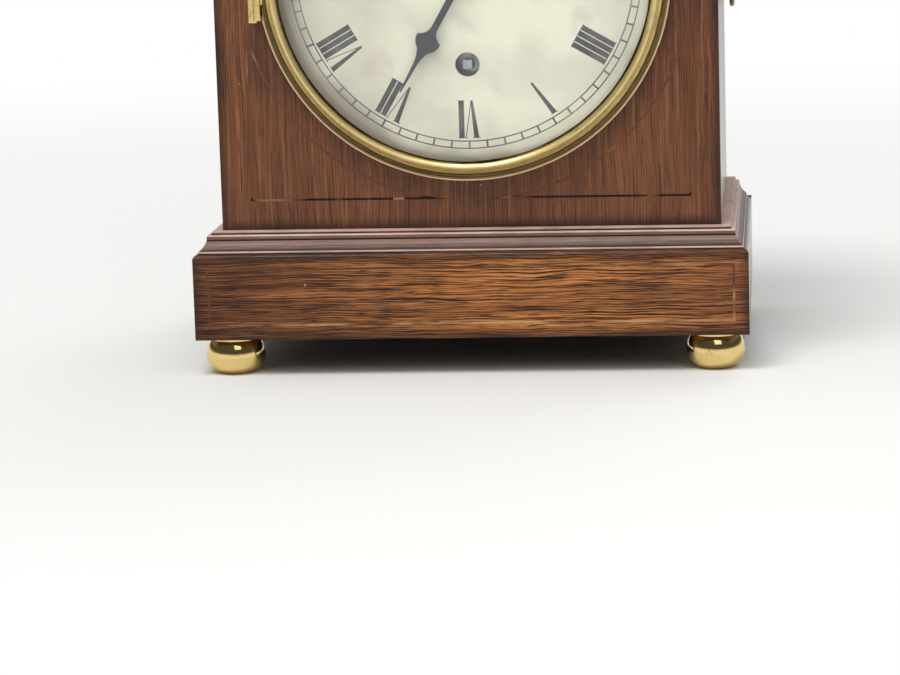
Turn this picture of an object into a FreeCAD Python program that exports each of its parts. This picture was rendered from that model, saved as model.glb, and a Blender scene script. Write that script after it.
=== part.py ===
import FreeCAD, Part
import math
import os
import re
import Sketcher
from FreeCAD import Rotation, Vector

# Bracket clock with a square inlaid case on a moulded plinth, a glazed round bezel, a silvered dial and
# an eight-day lever movement. Millimetres, +Z up, front towards -Y, origin under the middle of the
# plinth on the surface that the clock stands on.

doc = FreeCAD.newDocument("BracketClock")
sheet = doc.addObject("Spreadsheet::Sheet", "Sizes")

# Every size that can be set by itself, once.
SIZES = dict(
    # plinth and feet
    base_wide=200, base_deep=138, block_tall=31.1, block_board=12, block_round=1.8,
    foot_tall=13.5, foot_radius=10.75, foot_waist=8.6, foot_flat=5.5, foot_belly=6.6,
    foot_inset_side=12.5, foot_inset_front=11, foot_collar=1.1,
    floor_thick=8, line_wide=0.8, line_deep=0.6, line_sunk=0.12, block_line_inset=5,
    # moulded edge of the plinth, from the block outwards in steps
    moulding_tall=7.6, moulding_step=0.8, band_in=1.8, band_wide=2.9, band_tall=4,
    ledge_wide=1.5, ledge_drop=1.2,
    # case
    case_inset=9.8, case_tall=182.8, case_wall=9, back_inset=3.5, top_thick=9,
    corner_line_out=79.2, corner_line_down=80.6, corner_line_radius=81.7,
    rail_tall=22, seat_thick=8, bearer_tall=16, bearer_wide=12, plate_gap=0.2,
    # cornice, roof and finial
    cornice_out=8, cornice_tall=12, roof_tall=26, roof_in=34, roof_edge=4, roof_start=6,
    pad_radius=15, pad_tall=6, finial_ball=7.2, finial_tall=27,
    # side handles
    plate_radius=15, plate_thick=1.6, boss_radius=9, boss_out=3.4, ring_out=4.1, wire_radius=0.9,
    ring_radius=16, ring_drop=1, lug_wide=2.4, lug_radius=2.1, lug_clear=0.1,
    # back door
    door_thick=9, door_gap=0.6, door_stile=20, door_sunk=3, knuckle_radius=1.7, butt_tall=24,
    butt_wide=9, butt_thick=1, butt_space=95, pin_radius=0.9, pin_clear=0.04, button_long=24,
    button_wide=7, button_thick=1.4, button_clear=0.15, turn_screw_radius=1.5,
    # glazed bezel
    bezel_outer=73.9, bezel_inner=67.2, rim_wide=1.1, bead_wide=2.9, bezel_back=1.2, rim_out=4.6,
    bezel_out=7.6, lip_back=3.0, lip_out=4.4, rebate=2.2, glass_thick=1.4, glass_dome=4,
    seat_radius=73.4, seat_out=1, opening_radius=69.6, fit=0.3, hinge_tall=31, hinge_out=0.1,
    hinge_radius=1.6, hinge_ahead=2.75, hinge_pin=0.8, hinge_clear=0.35, hinge_end=5.5,
    leaf_wide=3.7, leaf_thick=0.9, tab_out=1.3, tab_tall=18, tab_thick=1.4,
    # dial and hands
    dial_sunk=2.7, dial_thick=1.5, dial_radius=69, winding_hole=4.4, motion_room=12.2,
    dial_foot_radius=2, dial_foot_out=34, hand_thick=0.6, hour_ahead=2, minute_ahead=3.5,
    hour_reach=48.5, spade_middle=27.4, spade_wide=9, hour_wide=2.4, minute_reach=61,
    minute_spade=42, minute_spade_wide=6.4, minute_wide=1.7, hour_angle=210, boss_hour=4.4,
    boss_minute=3.2, nut_radius=2.4, nut_thick=1.5,
    # movement plates
    plate_half=48, plate_up=44.4, plate_down=60, plate_sheet=2.5, pillar_long=38, pillar_radius=3.5,
    pillar_inset=6.5, nut_across=8, nut_tall=2.6, pivot_long=2.9, pivot_clear=0.04, shake=0.3,
    # barrel and winding
    winding_drop=32.7, drum_radius=22, drum_wall=1.4, drum_long=25, drum_start=4.3, wheel_thick=1.4,
    great_thick=2, winding_radius=2.4, winding_square=3.2, hook_clear=0.05, ratchet_radius=8,
    ratchet_teeth=20, ratchet_thick=1.5, spring_inner=6, spring_clear=0.3,
    # train arbors, and how far behind the front plate each wheel and pinion starts
    arbor_radius=1, thin_arbor=0.7, centre_arbor=1.2, cannon_radius=1.9, pipe_radius=2.8,
    stud_thick=0.9, third_aside=8.8, intermediate_at=31.3, centre_at=34.6, third_at=24.8,
    thin_wheel=1.2, pinion_over=1, spoke_wide=2, thin_spoke=1.4, rim_deep=2, motion_clear=0.7,
    # platform escapement
    platform_gap=2.3, platform_thick=1.5, escape_radius=4, escape_teeth=15, lever_reach=6.2,
    balance_reach=15.5, balance_radius=7, balance_rim=1.1, cock_thick=1, balance_cock_thick=1.5,
    fourth_at=4.8, escape_at=7.4, escape_thick=0.5, cock_at=9.3, roller_at=9, balance_at=11.8,
    balance_cock_at=16.8,
)

# Teeth and modules of the train, wheel first.
BARREL_TO_INTERMEDIATE = (90, 12, 0.55)
INTERMEDIATE_TO_CENTRE = (72, 9, 0.45)
CENTRE_TO_THIRD = (80, 8, 0.4)
THIRD_TO_FOURTH = (60, 10, 0.35)
FOURTH_TO_ESCAPE = (60, 6, 0.3)
MINUTE_TO_CANNON = (36, 12, 0.5)
HOUR_TO_MINUTE = (40, 10, 0.48)

# Places that follow from those sizes.
PLACES = dict(
    half_base="base_wide/2",
    base_front="0 - base_deep/2",
    base_back="base_deep/2",
    block_top="foot_tall + block_tall",
    case_foot="block_top + moulding_tall",
    case_top="case_foot + case_tall",
    half_case="half_base - case_inset",
    case_front="base_front + case_inset",
    case_back="base_back - back_inset",
    panel_back="case_front + case_wall",
    inner_half="half_case - case_wall",
    dial_middle="case_foot + case_tall/2",
    cornice_top="case_top + cornice_tall",
    roof_top="cornice_top + roof_tall",
    dial_face="case_front + dial_sunk",
    dial_back="dial_face + dial_thick",
    plate_face="dial_back + motion_room",
    between="plate_face + plate_sheet",
    back_plate_face="between + pillar_long",
    back_plate_end="back_plate_face + plate_sheet",
    platform_end="back_plate_end + platform_gap + platform_thick",
    seat_top="dial_middle - plate_down - plate_gap",
    door_face="case_back - door_thick",
    door_foot="case_foot + rail_tall + door_gap",
    door_head="case_top - top_thick - door_gap",
    door_half="inner_half - door_gap",
    hinge_x="0 - bezel_outer - hinge_out",
    hinge_y="case_front - hinge_ahead",
    knuckle_x="door_half + door_gap/2",
    knuckle_y="case_back + knuckle_radius + 0.05",
)

row = 0
for name, number in SIZES.items():
    row += 1
    sheet.set(f"A{row}", name)
    sheet.set(f"B{row}", str(number))
    sheet.setAlias(f"B{row}", name)
doc.recompute()

WORD = re.compile(r"[a-z_]{2,}")
pieces = []


def bound(text):
    """A sum of sizes and places as an expression on the sheet."""
    def swap(found):
        word = found[0]
        if word in PLACES:
            return "(" + bound(PLACES[word]) + ")"
        return "Sizes." + word if word in SIZES else word
    return WORD.sub(swap, str(text))


def size(text):
    """The same sum as a number of millimetres."""
    return float(sheet.evalExpression(bound(text).replace("Sizes.", "")))


def plane(piece, role):
    return [f for f in piece.Origin.OriginFeatures if f.Role == role][0]


def body(label, x="0", y="0", z="0", solids=1):
    """One piece made from sketches, standing at x, y, z."""
    piece = doc.addObject("PartDesign::Body", label)
    piece.Label = label
    piece.AllowCompound = solids > 1
    for axis, text in zip("xyz", (x, y, z)):
        if text != "0":
            piece.setExpression(f"Placement.Base.{axis}", bound(text))
    return piece


def kept(piece, solids=1):
    """Marks a finished piece for export, with the number of separate solids it has."""
    pieces.append((piece, solids))
    return piece


def sketch_on(piece, role, at="0"):
    """A sketch on the piece's own XY, XZ or YZ plane, moved along that plane's world axis to at."""
    sketch = piece.newObject("Sketcher::SketchObject", "Outline")
    sketch.AttachmentSupport = (plane(piece, role), [""])
    sketch.MapMode = "FlatFace"
    if at != "0":
        sign = "0 - " if role == "XZ_Plane" else ""
        sketch.setExpression("AttachmentOffset.Base.z", f"{sign}({bound(at)})")
    return sketch


def hold(sketch, kind, text, *where):
    """One sketch constraint, bound to the sheet."""
    index = sketch.addConstraint(Sketcher.Constraint(kind, *where, size(text)))
    sketch.setExpression(f"Constraints[{index}]", bound(text))


def arc_between(start, end, radius, turn):
    """The short arc from start to end, anticlockwise where turn is 1 and clockwise where it is -1."""
    across = end - start
    rise = math.sqrt(max(radius ** 2 - (across.Length / 2) ** 2, 0))
    side = Vector(-across.y, across.x, 0).normalize() * rise * turn
    middle = (start + end) / 2 + side
    first, last = (start, end) if turn > 0 else (end, start)
    angles = [math.atan2(p.y - middle.y, p.x - middle.x) for p in (first, last)]
    if angles[1] < angles[0]:
        angles[1] += 2 * math.pi
    return Part.ArcOfCircle(Part.Circle(middle, Vector(0, 0, 1), radius), *angles)


def arc_radius(start, end):
    """The radius of the arc that starts at a point, where chord in its text is the distance to the next."""
    chord = f"sqrt((({end[0]}) - ({start[0]}))^2 + (({end[1]}) - ({start[1]}))^2)"
    return start[2].replace("chord", chord)


def draw(sketch, loop, closed=True):
    """Adds a circle (x, y, radius) or an outline of points (x, y). A point (x, y, radius, turn) starts an arc."""
    if isinstance(loop, tuple):
        x, y, radius = loop
        circle = Part.Circle(Vector(size(x), size(y), 0), Vector(0, 0, 1), size(radius))
        index = sketch.addGeometry(circle, False)
        hold(sketch, "DistanceX", x, -1, 1, index, 3)
        hold(sketch, "DistanceY", y, -1, 1, index, 3)
        hold(sketch, "Radius", radius, index)
        return
    places = [Vector(size(p[0]), size(p[1]), 0) for p in loop]
    edges = []
    for i in range(len(loop) if closed else len(loop) - 1):
        start, end = places[i], places[(i + 1) % len(loop)]
        if len(loop[i]) == 2:
            index = sketch.addGeometry(Part.LineSegment(start, end), False)
            edges.append((index, 1, 2))
            continue
        turn = loop[i][3]
        radius = arc_radius(loop[i], loop[(i + 1) % len(loop)])
        index = sketch.addGeometry(arc_between(start, end, size(radius), turn), False)
        edges.append((index, 1, 2) if turn > 0 else (index, 2, 1))
        hold(sketch, "Radius", radius, index)
    for i, (index, first, last) in enumerate(edges):
        if closed or i + 1 < len(edges):
            following, entry, leave = edges[(i + 1) % len(edges)]
            sketch.addConstraint(Sketcher.Constraint("Coincident", index, last, following, entry))
        hold(sketch, "DistanceX", loop[i][0], -1, 1, index, first)
        hold(sketch, "DistanceY", loop[i][1], -1, 1, index, first)
    if not closed:
        index, first, last = edges[-1]
        hold(sketch, "DistanceX", loop[-1][0], -1, 1, index, last)
        hold(sketch, "DistanceY", loop[-1][1], -1, 1, index, last)


def pad(piece, role, loops, low, high):
    """Material inside the loops from low to high along the plane's world axis."""
    sketch = sketch_on(piece, role, high if role == "XZ_Plane" else low)
    for loop in loops:
        draw(sketch, loop)
    feature = piece.newObject("PartDesign::Pad", "Pad")
    feature.Profile = sketch
    feature.setExpression("Length", bound(f"({high}) - ({low})"))
    return feature


def cut(piece, role, loops, low, high):
    """Takes the same prism away again."""
    sketch = sketch_on(piece, role, low if role == "XZ_Plane" else high)
    for loop in loops:
        draw(sketch, loop)
    doc.recompute()
    before = piece.Shape.Volume
    feature = piece.newObject("PartDesign::Pocket", "Pocket")
    feature.Profile = sketch
    feature.setExpression("Length", bound(f"({high}) - ({low})"))
    doc.recompute()
    if piece.Shape.Volume > before - 1e-6:
        raise ValueError(f"a pocket of {piece.Label} cuts nothing")
    return feature


def turned(piece, role, axis, loop):
    """Turns an outline round its sketch's axis: V_Axis upright, H_Axis along the sketch's first direction."""
    sketch = sketch_on(piece, role)
    draw(sketch, loop)
    feature = piece.newObject("PartDesign::Revolution", "Revolution")
    feature.Profile = sketch
    feature.ReferenceAxis = (sketch, [axis])
    feature.Angle = 360
    return feature


def rounded(piece, radius, chosen):
    """Rounds the edges whose middle passes chosen."""
    doc.recompute()
    tip = piece.Tip
    names = [f"Edge{i}" for i, e in enumerate(tip.Shape.Edges, 1) if chosen(e.CenterOfMass)]
    feature = piece.newObject("PartDesign::Fillet", "Fillet")
    feature.Base = (tip, names)
    feature.setExpression("Radius", bound(radius))
    return feature


def rectangle(left, right, low, high):
    return [(left, low), (right, low), (right, high), (left, high)]


def swept_edge(piece, path, closed, profile, at, inner):
    """Sweeps an edge profile round the path with mitred corners, and fills the middle as one board."""
    route = sketch_on(piece, "XY_Plane")
    draw(route, path, closed)
    outline = sketch_on(piece, "XZ_Plane", at)
    draw(outline, profile)
    doc.recompute()
    feature = piece.newObject("PartDesign::AdditivePipe", "Edge")
    feature.Profile = outline
    count = len(path) if closed else len(path) - 1
    feature.Spine = (route, [f"Edge{i + 1}" for i in range(count)])
    feature.Transition = "Right corner"
    left, right, low, high, foot, top = inner
    pad(piece, "XY_Plane", [rectangle(left, right, low, high)], foot, top)


def together(label, members):
    """One node of several separate pieces."""
    group = doc.addObject("Part::Compound", label)
    group.Label = label
    group.Links = members
    return kept(group, len(members))


def copies(label, master, places):
    """One node of equal pieces: copies of the master at (x, y, z, turn about Z in degrees)."""
    links = []
    for x, y, z, turn in places:
        link = doc.addObject("App::Link", label + "_copy")
        link.LinkedObject = master
        link.LinkTransform = False
        link.Placement = FreeCAD.Placement(Vector(0, 0, 0), Rotation(Vector(0, 0, 1), turn))
        for axis, text in zip("xyz", (x, y, z)):
            link.setExpression(f"Placement.Base.{axis}", bound(text))
        links.append(link)
    return together(label, links)


def shaped(label, shape, x="0", y="0", z="0", solids=1):
    """A piece whose shape is worked out from the sheet here, such as a toothed wheel."""
    piece = doc.addObject("Part::Feature", label)
    piece.Label = label
    piece.Shape = shape
    piece.Placement = FreeCAD.Placement(Vector(size(x), size(y), size(z)), Rotation())
    return kept(piece, solids)


# Plinth: four mitred boards round a floor, on four bun feet.

def plinth_front():
    piece = body("plinth_front")
    pad(piece, "XY_Plane", [[
        ("0 - half_base", "base_front"), ("half_base", "base_front"),
        ("half_base - block_board", "base_front + block_board"),
        ("block_board - half_base", "base_front + block_board"),
    ]], "foot_tall", "block_top")
    rounded(piece, "block_round",
            lambda m: m.z > size("block_top") - 0.1 and m.y < size("base_front") + 0.1)
    cut(piece, "XZ_Plane", block_line(), "base_front - 1", "base_front + line_deep")
    return kept(piece)


def block_line():
    """The outer and inner edge of the inlaid rectangle on the plinth's front."""
    loops = []
    for inset in ("block_line_inset", "block_line_inset + line_wide"):
        loops.append(rectangle(f"{inset} - half_base", f"half_base - ({inset})",
                               f"foot_tall + {inset}", f"block_top - ({inset})"))
    return loops


def plinth_stringing():
    piece = body("plinth_stringing")
    pad(piece, "XZ_Plane", block_line(), "base_front", "base_front + line_deep")
    return kept(piece)


def plinth_sides_back():
    """The other three boards, mitred into the front one and each other."""
    boards = []
    for side in ("", "0 - "):
        board = body("plinth_side")
        pad(board, "XY_Plane", [[
            (f"{side}half_base", "base_front"), (f"{side}half_base", "base_back"),
            (f"{side}(half_base - block_board)", "base_back - block_board"),
            (f"{side}(half_base - block_board)", "base_front + block_board"),
        ]], "foot_tall", "block_top")
        rounded(board, "block_round",
                lambda m: m.z > size("block_top") - 0.1 and abs(m.x) > size("half_base") - 0.1)
        boards.append(board)
    back = body("plinth_back")
    pad(back, "XY_Plane", [[
        ("half_base", "base_back"), ("0 - half_base", "base_back"),
        ("block_board - half_base", "base_back - block_board"),
        ("half_base - block_board", "base_back - block_board"),
    ]], "foot_tall", "block_top")
    return together("plinth_sides_back", boards + [back])


def foot_places():
    side = "half_base - foot_inset_side"
    return [(f"{sign}({side})", y, "0", 0)
            for sign in ("0 - ", "")
            for y in ("base_front + foot_inset_front", "base_back - foot_inset_front")]


def plinth_floor():
    """A board inside the four sides, flush with their lower edges."""
    piece = body("plinth_floor")
    half, front = "half_base - block_board", "base_front + block_board"
    pad(piece, "XY_Plane", [rectangle(f"0 - ({half})", half, front, f"0 - ({front})")],
        "foot_tall", "foot_tall + floor_thick")
    return kept(piece)


def bun_feet():
    foot = body("bun_foot")
    collar = "foot_tall - foot_collar"
    low, high = "(foot_radius - foot_flat)", "(foot_radius - foot_waist)"
    turned(foot, "XZ_Plane", "V_Axis", [
        ("0", "0"), ("foot_flat", "0", f"({low}^2 + foot_belly^2)/(2*{low})", 1),
        ("foot_radius", "foot_belly", f"({high}^2 + ({collar} - foot_belly)^2)/(2*{high})", 1),
        ("foot_waist", collar), ("foot_waist", "foot_tall"), ("0", "foot_tall"),
    ])
    return copies("bun_feet", foot, foot_places())


def plinth_moulding():
    """A board whose front and side edges rise in a cove, a bead and two ledges to the case."""
    top, band = "case_foot", "band_in + band_wide"
    half = "half_base"
    piece = body("plinth_moulding")
    swept_edge(piece, [
        (f"{half} - 0", "base_back"), (f"{half} - 0", "base_front"), (f"0 - {half}", "base_front"),
        (f"0 - {half}", "base_back"),
    ], False, [
        (f"{half} - band_in", "block_top"),
        (f"{half} - band_in", "block_top + moulding_step", "chord*1.42", -1),
        (f"{half} - ({band})", "block_top + moulding_step + band_tall"),
        (f"{half} - ({band})", f"{top} - ledge_drop - 0.4", "0.4", 1),
        (f"{half} - ({band}) - 0.4", f"{top} - ledge_drop"),
        (f"{half} - ({band}) - ledge_wide", f"{top} - ledge_drop"),
        (f"{half} - ({band}) - ledge_wide", f"{top} - 0.4", "0.4", 1),
        (f"{half} - ({band}) - ledge_wide - 0.4", top),
        (f"{half} - case_inset - 2", top), (f"{half} - case_inset - 2", "block_top"),
    ], "base_back", ("0 - half_case + 1.5", "half_case - 1.5", "case_front + 1.5", "base_back",
                     "block_top", top))
    return kept(piece)


# Case: a front panel with a round opening, two sides, a top, and rails and a seat board inside.

def corner_figure(across, up):
    """Outer and inner edge of one inlaid corner: two lines square to each other and an arc round the dial."""
    loops = []
    for sign in ("+", "-"):
        shift = f"{sign} line_wide/2"
        far = f"(corner_line_out {shift})"
        low = f"(corner_line_down {shift})"
        bend = f"(corner_line_radius - ({'0 ' + shift}))"
        reach_x = f"sqrt({bend}^2 - {low}^2)"
        reach_z = f"sqrt({bend}^2 - {far}^2)"
        turn = 1 if (across == "") == (up == "+") else -1
        loops.append([
            (f"{across}{far}", f"dial_middle {up} {low}"),
            (f"{across}{far}", f"dial_middle {up} {reach_z}", bend, turn),
            (f"{across}{reach_x}", f"dial_middle {up} {low}"),
        ])
    return loops


def corner_lines():
    return [corner_figure(across, up) for across in ("0 - ", "") for up in ("-", "+")]


def front_panel():
    piece = body("front_panel")
    pad(piece, "XZ_Plane", [
        rectangle("0 - half_case", "half_case", "case_foot", "case_top"),
        ("0", "dial_middle", "opening_radius"),
    ], "case_front", "panel_back")
    loops = [loop for figure in corner_lines() for loop in figure]
    cut(piece, "XZ_Plane", loops, "case_front - 1", "case_front + line_deep")
    return kept(piece)


def front_stringing():
    piece = body("front_stringing", solids=4)
    loops = [loop for figure in corner_lines() for loop in figure]
    pad(piece, "XZ_Plane", loops, "case_front + line_sunk", "case_front + line_deep")
    return kept(piece, 4)


def side_panels():
    piece = body("side_panels", solids=2)
    for left, right in (("inner_half", "half_case"), ("0 - half_case", "0 - inner_half")):
        pad(piece, "XY_Plane", [rectangle(left, right, "panel_back", "case_back")],
            "case_foot", "case_top")
    return kept(piece, 2)


def case_top():
    piece = body("case_top")
    pad(piece, "XY_Plane", [rectangle("0 - inner_half", "inner_half", "panel_back", "case_back")],
        "case_top - top_thick", "case_top")
    return kept(piece)


def back_rail():
    """The rail under the door, between the sides."""
    piece = body("back_rail")
    pad(piece, "XZ_Plane", [rectangle("0 - inner_half", "inner_half", "case_foot", "case_foot + rail_tall")],
        "door_face", "case_back")
    return kept(piece)


def seat_board():
    """The shelf that the movement stands on."""
    piece = body("seat_board")
    pad(piece, "XY_Plane", [rectangle("0 - inner_half", "inner_half", "plate_face - 4",
                                      "back_plate_end + 8")],
        "seat_top - seat_thick", "seat_top")
    return kept(piece)


def seat_bearers():
    piece = body("seat_bearers", solids=2)
    for left, right in (("inner_half - bearer_wide", "inner_half"),
                        ("0 - inner_half", "bearer_wide - inner_half")):
        pad(piece, "XY_Plane", [rectangle(left, right, "panel_back", "door_face - 4")],
            "seat_top - seat_thick - bearer_tall", "seat_top - seat_thick")
    return kept(piece, 2)


# Cornice, roof and finial.

def cornice():
    """A board that steps and coves outwards over the case on the front and both sides."""
    half = "(half_case + cornice_out)"
    front = "(case_front - cornice_out)"
    piece = body("cornice")
    swept_edge(piece, [
        (half, "case_back"), (half, front), (f"0 - {half}", front), (f"0 - {half}", "case_back"),
    ], False, [
        (f"{half} - cornice_out + 1", "case_top"), (f"{half} - cornice_out + 1", "case_top + 1.2"),
        (f"{half} - cornice_out + 1.6", "case_top + 1.8", "chord*0.84", -1),
        (f"{half} - 1.6", "cornice_top - 4.6"), (f"{half} - 1.2", "cornice_top - 4"),
        (half, "cornice_top - 4"), (half, "cornice_top - 1", "1", 1),
        (f"{half} - 1", "cornice_top"), (f"{half} - cornice_out - 2", "cornice_top"),
        (f"{half} - cornice_out - 2", "case_top"),
    ], "case_back", ("0 - half_case + 1.5", "half_case - 1.5", "case_front + 1.5", "case_back",
                     "case_top", "cornice_top"))
    return kept(piece)


def roof():
    """A low hipped roof with hollow slopes all round and a flat top."""
    half = "(half_case + cornice_out - roof_start)"
    front = "(case_front - cornice_out + roof_start)"
    back = "(case_back - 1)"
    piece = body("roof")
    swept_edge(piece, [
        (half, back), (half, front), (f"0 - {half}", front), (f"0 - {half}", back),
    ], True, [
        (half, "cornice_top"), (half, "cornice_top + roof_edge"),
        (f"{half} - 1", "cornice_top + roof_edge", "chord*1.6", -1),
        (f"{half} - roof_in", "roof_top - 2"), (f"{half} - roof_in", "roof_top"),
        (f"{half} - roof_in - 8", "roof_top"), (f"{half} - roof_in - 8", "cornice_top"),
    ], "0", (f"0 - {half} + roof_in + 7", f"{half} - roof_in - 7", f"{front} + roof_in + 7",
             f"{back} - roof_in - 7", "cornice_top", "roof_top"))
    return kept(piece)


def roof_middle():
    return "(case_front - cornice_out + roof_start + case_back - 1)/2"


def roof_pad():
    piece = body("roof_pad", y=roof_middle(), z="roof_top")
    turned(piece, "XZ_Plane", "V_Axis", [
        ("0", "0"), ("pad_radius", "0"), ("pad_radius", "1.6"),
        ("pad_radius - 1", "2.2", "chord*0.78", -1), ("pad_radius - 4", "pad_tall - 0.6"),
        ("pad_radius - 4", "pad_tall"), ("0", "pad_tall"),
    ])
    return kept(piece)


def finial():
    piece = body("finial", y=roof_middle(), z="roof_top + pad_tall")
    neck = "finial_tall - 2*finial_ball - 1.4"
    turned(piece, "XZ_Plane", "V_Axis", [
        ("0", "0"), ("8", "0"), ("8", "1.4"), ("6", "2"), ("2.6", f"({neck})*0.6", "chord*1.28", 1),
        ("4.4", f"({neck}) - 1"), ("2.6", neck, "finial_ball", 1),
        ("finial_ball", f"{neck} + sqrt(finial_ball^2 - 2.6^2)", "finial_ball", 1),
        ("1.2", f"{neck} + sqrt(finial_ball^2 - 2.6^2) + sqrt(finial_ball^2 - 1.2^2)"),
        ("0", "finial_tall"),
    ])
    return kept(piece)


# Side handles: a domed round plate with an eye, and a ring hanging in the eye.

def handle_plates():
    plate = body("handle_plate")
    turned(plate, "XZ_Plane", "H_Axis", [
        ("0", "0"), ("0", "plate_radius"), ("plate_thick - 0.6", "plate_radius", "0.6", -1),
        ("plate_thick", "plate_radius - 0.6"), ("plate_thick", "boss_radius + 1"),
        ("plate_thick + 0.4", "boss_radius", "15", -1), ("boss_out", "1"), ("boss_out", "0"),
    ])
    top = "ring_radius - ring_drop"
    pad(plate, "XZ_Plane", [[
        ("0", f"{top} - lug_radius"), ("ring_out", f"{top} - lug_radius", "lug_radius", 1),
        ("ring_out + lug_radius", top, "lug_radius", 1), ("ring_out", f"{top} + lug_radius"),
        ("0", f"{top} + lug_radius"),
    ]], "0 - lug_wide/2", "lug_wide/2")
    cut(plate, "XZ_Plane", [("ring_out", top, "wire_radius + lug_clear")], "0 - lug_wide", "lug_wide")
    middle = "(case_front + case_back)/2"
    return copies("handle_plates", plate, [("half_case", middle, "dial_middle", 0),
                                           ("0 - half_case", middle, "dial_middle", 180)])


def ring_handle(label, sign):
    """A plain wire ring, hanging beside the case."""
    ring = doc.addObject("Part::Torus", label)
    ring.Label = label
    ring.setExpression("Radius1", bound("ring_radius"))
    ring.setExpression("Radius2", bound("wire_radius"))
    ring.Placement = FreeCAD.Placement(Vector(0, 0, 0), Rotation(Vector(0, 1, 0), 90))
    ring.setExpression("Placement.Base.x", bound(f"{sign}(half_case + ring_out)"))
    ring.setExpression("Placement.Base.y", bound("(case_front + case_back)/2"))
    ring.setExpression("Placement.Base.z", bound("dial_middle - ring_drop"))
    return kept(ring)


# Back door: a framed panel on two brass butts, held by a turn button.

def back_door():
    piece = body("back_door")
    pad(piece, "XZ_Plane", [rectangle("0 - door_half", "door_half", "door_foot", "door_head")],
        "door_face", "case_back")
    inner = rectangle("door_stile - door_half", "door_half - door_stile", "door_foot + door_stile",
                      "door_head - door_stile")
    cut(piece, "XZ_Plane", [inner], "case_back - door_sunk", "case_back + 1")
    return kept(piece)


def butt_heights():
    middle = "(door_foot + door_head)/2"
    return [f"{middle} - butt_space/2", f"{middle} + butt_space/2"]


def knuckles(label, side, parts):
    """Flat leaves on the back of the case or door, each with its share of the three knuckles."""
    piece = body(label, x="knuckle_x", y="knuckle_y", solids=2)
    third = "butt_tall/3"
    for height in butt_heights():
        foot = f"({height} - butt_tall/2)"
        for low, high in parts:
            pad(piece, "XY_Plane", [("0", "0", "knuckle_radius")],
                f"{foot} + {low}*{third} + {'0' if low == 0 else 'fit/2'}",
                f"{foot} + {high}*{third} - {'0' if high == 3 else 'fit/2'}")
        near = "knuckle_radius*0.6"
        back = "0 - knuckle_radius - 0.05 + 0.02"
        left, right = (near, "butt_wide") if side > 0 else ("0 - butt_wide", f"0 - {near}")
        pad(piece, "XY_Plane", [rectangle(left, right, back, f"{back} + butt_thick")],
            foot, f"{foot} + butt_tall")
    return piece


def door_hinges():
    """Two butt hinges: leaves on the case's side edge, leaves on the door, and their pins."""
    bore = ("0", "0", "pin_radius + pin_clear")
    case_leaves = knuckles("door_hinge_case_leaves", 1, [(0, 1), (2, 3)])
    door_leaves = knuckles("door_hinge_door_leaves", -1, [(1, 2)])
    for height in butt_heights():
        foot = f"({height} - butt_tall/2)"
        cut(case_leaves, "XY_Plane", [bore], f"{foot} - 1", f"{foot} + butt_tall + 1")
        cut(door_leaves, "XY_Plane", [bore], f"{foot} - 1", f"{foot} + butt_tall + 1")
        gap = ("0", "0", "knuckle_radius + 0.15")
        cut(case_leaves, "XY_Plane", [gap], f"{foot} + butt_tall/3 - fit/2",
            f"{foot} + 2*butt_tall/3 + fit/2")
        cut(door_leaves, "XY_Plane", [gap], foot, f"{foot} + butt_tall/3 + fit/2")
        cut(door_leaves, "XY_Plane", [gap], f"{foot} + 2*butt_tall/3 - fit/2", f"{foot} + butt_tall")
    kept(case_leaves, 2)
    kept(door_leaves, 2)
    pins = body("door_hinge_pins", x="knuckle_x", y="knuckle_y", solids=2)
    for height in butt_heights():
        pad(pins, "XY_Plane", [("0", "0", "pin_radius")], f"{height} - butt_tall/2",
            f"{height} + butt_tall/2")
    return kept(pins, 2)


def door_button():
    """A flat button on the case's edge, parked upright beside the door."""
    x, z = "0 - half_case + case_wall/2 - 0.5", "(door_foot + door_head)/2"
    piece = body("door_button", x=x, y="case_back", z=z)
    end = "button_wide/2"
    reach = f"(button_long/2 - {end})"
    pad(piece, "XZ_Plane", [[
        (end, f"0 - {reach}"), (end, reach, end, 1), ("0", f"{reach} + {end}", end, 1),
        (f"0 - {end}", reach), (f"0 - {end}", f"0 - {reach}", end, 1),
        ("0", f"0 - {reach} - {end}", end, 1),
    ], ("0", "0", "turn_screw_radius + pin_clear")], "button_clear", "button_clear + button_thick")
    kept(piece)
    screw = body("door_button_screw", x=x, y="case_back", z=z)
    head = "button_clear + button_thick + 0.1"
    pad(screw, "XZ_Plane", [("0", "0", "turn_screw_radius")], "0", head)
    pad(screw, "XZ_Plane", [("0", "0", "turn_screw_radius*1.8")], head, f"{head} + 0.9")
    cut(screw, "XZ_Plane", [rectangle("0 - 3", "3", "0 - 0.3", "0.3")], f"{head} + 0.4", f"{head} + 1")
    return kept(screw)


# Glazed bezel on a seat ring round the opening.

def bezel_seat():
    piece = body("bezel_seat")
    pad(piece, "XZ_Plane", [("0", "dial_middle", "seat_radius"), ("0", "dial_middle", "opening_radius")],
        "case_front - seat_out", "case_front")
    return kept(piece)


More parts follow.
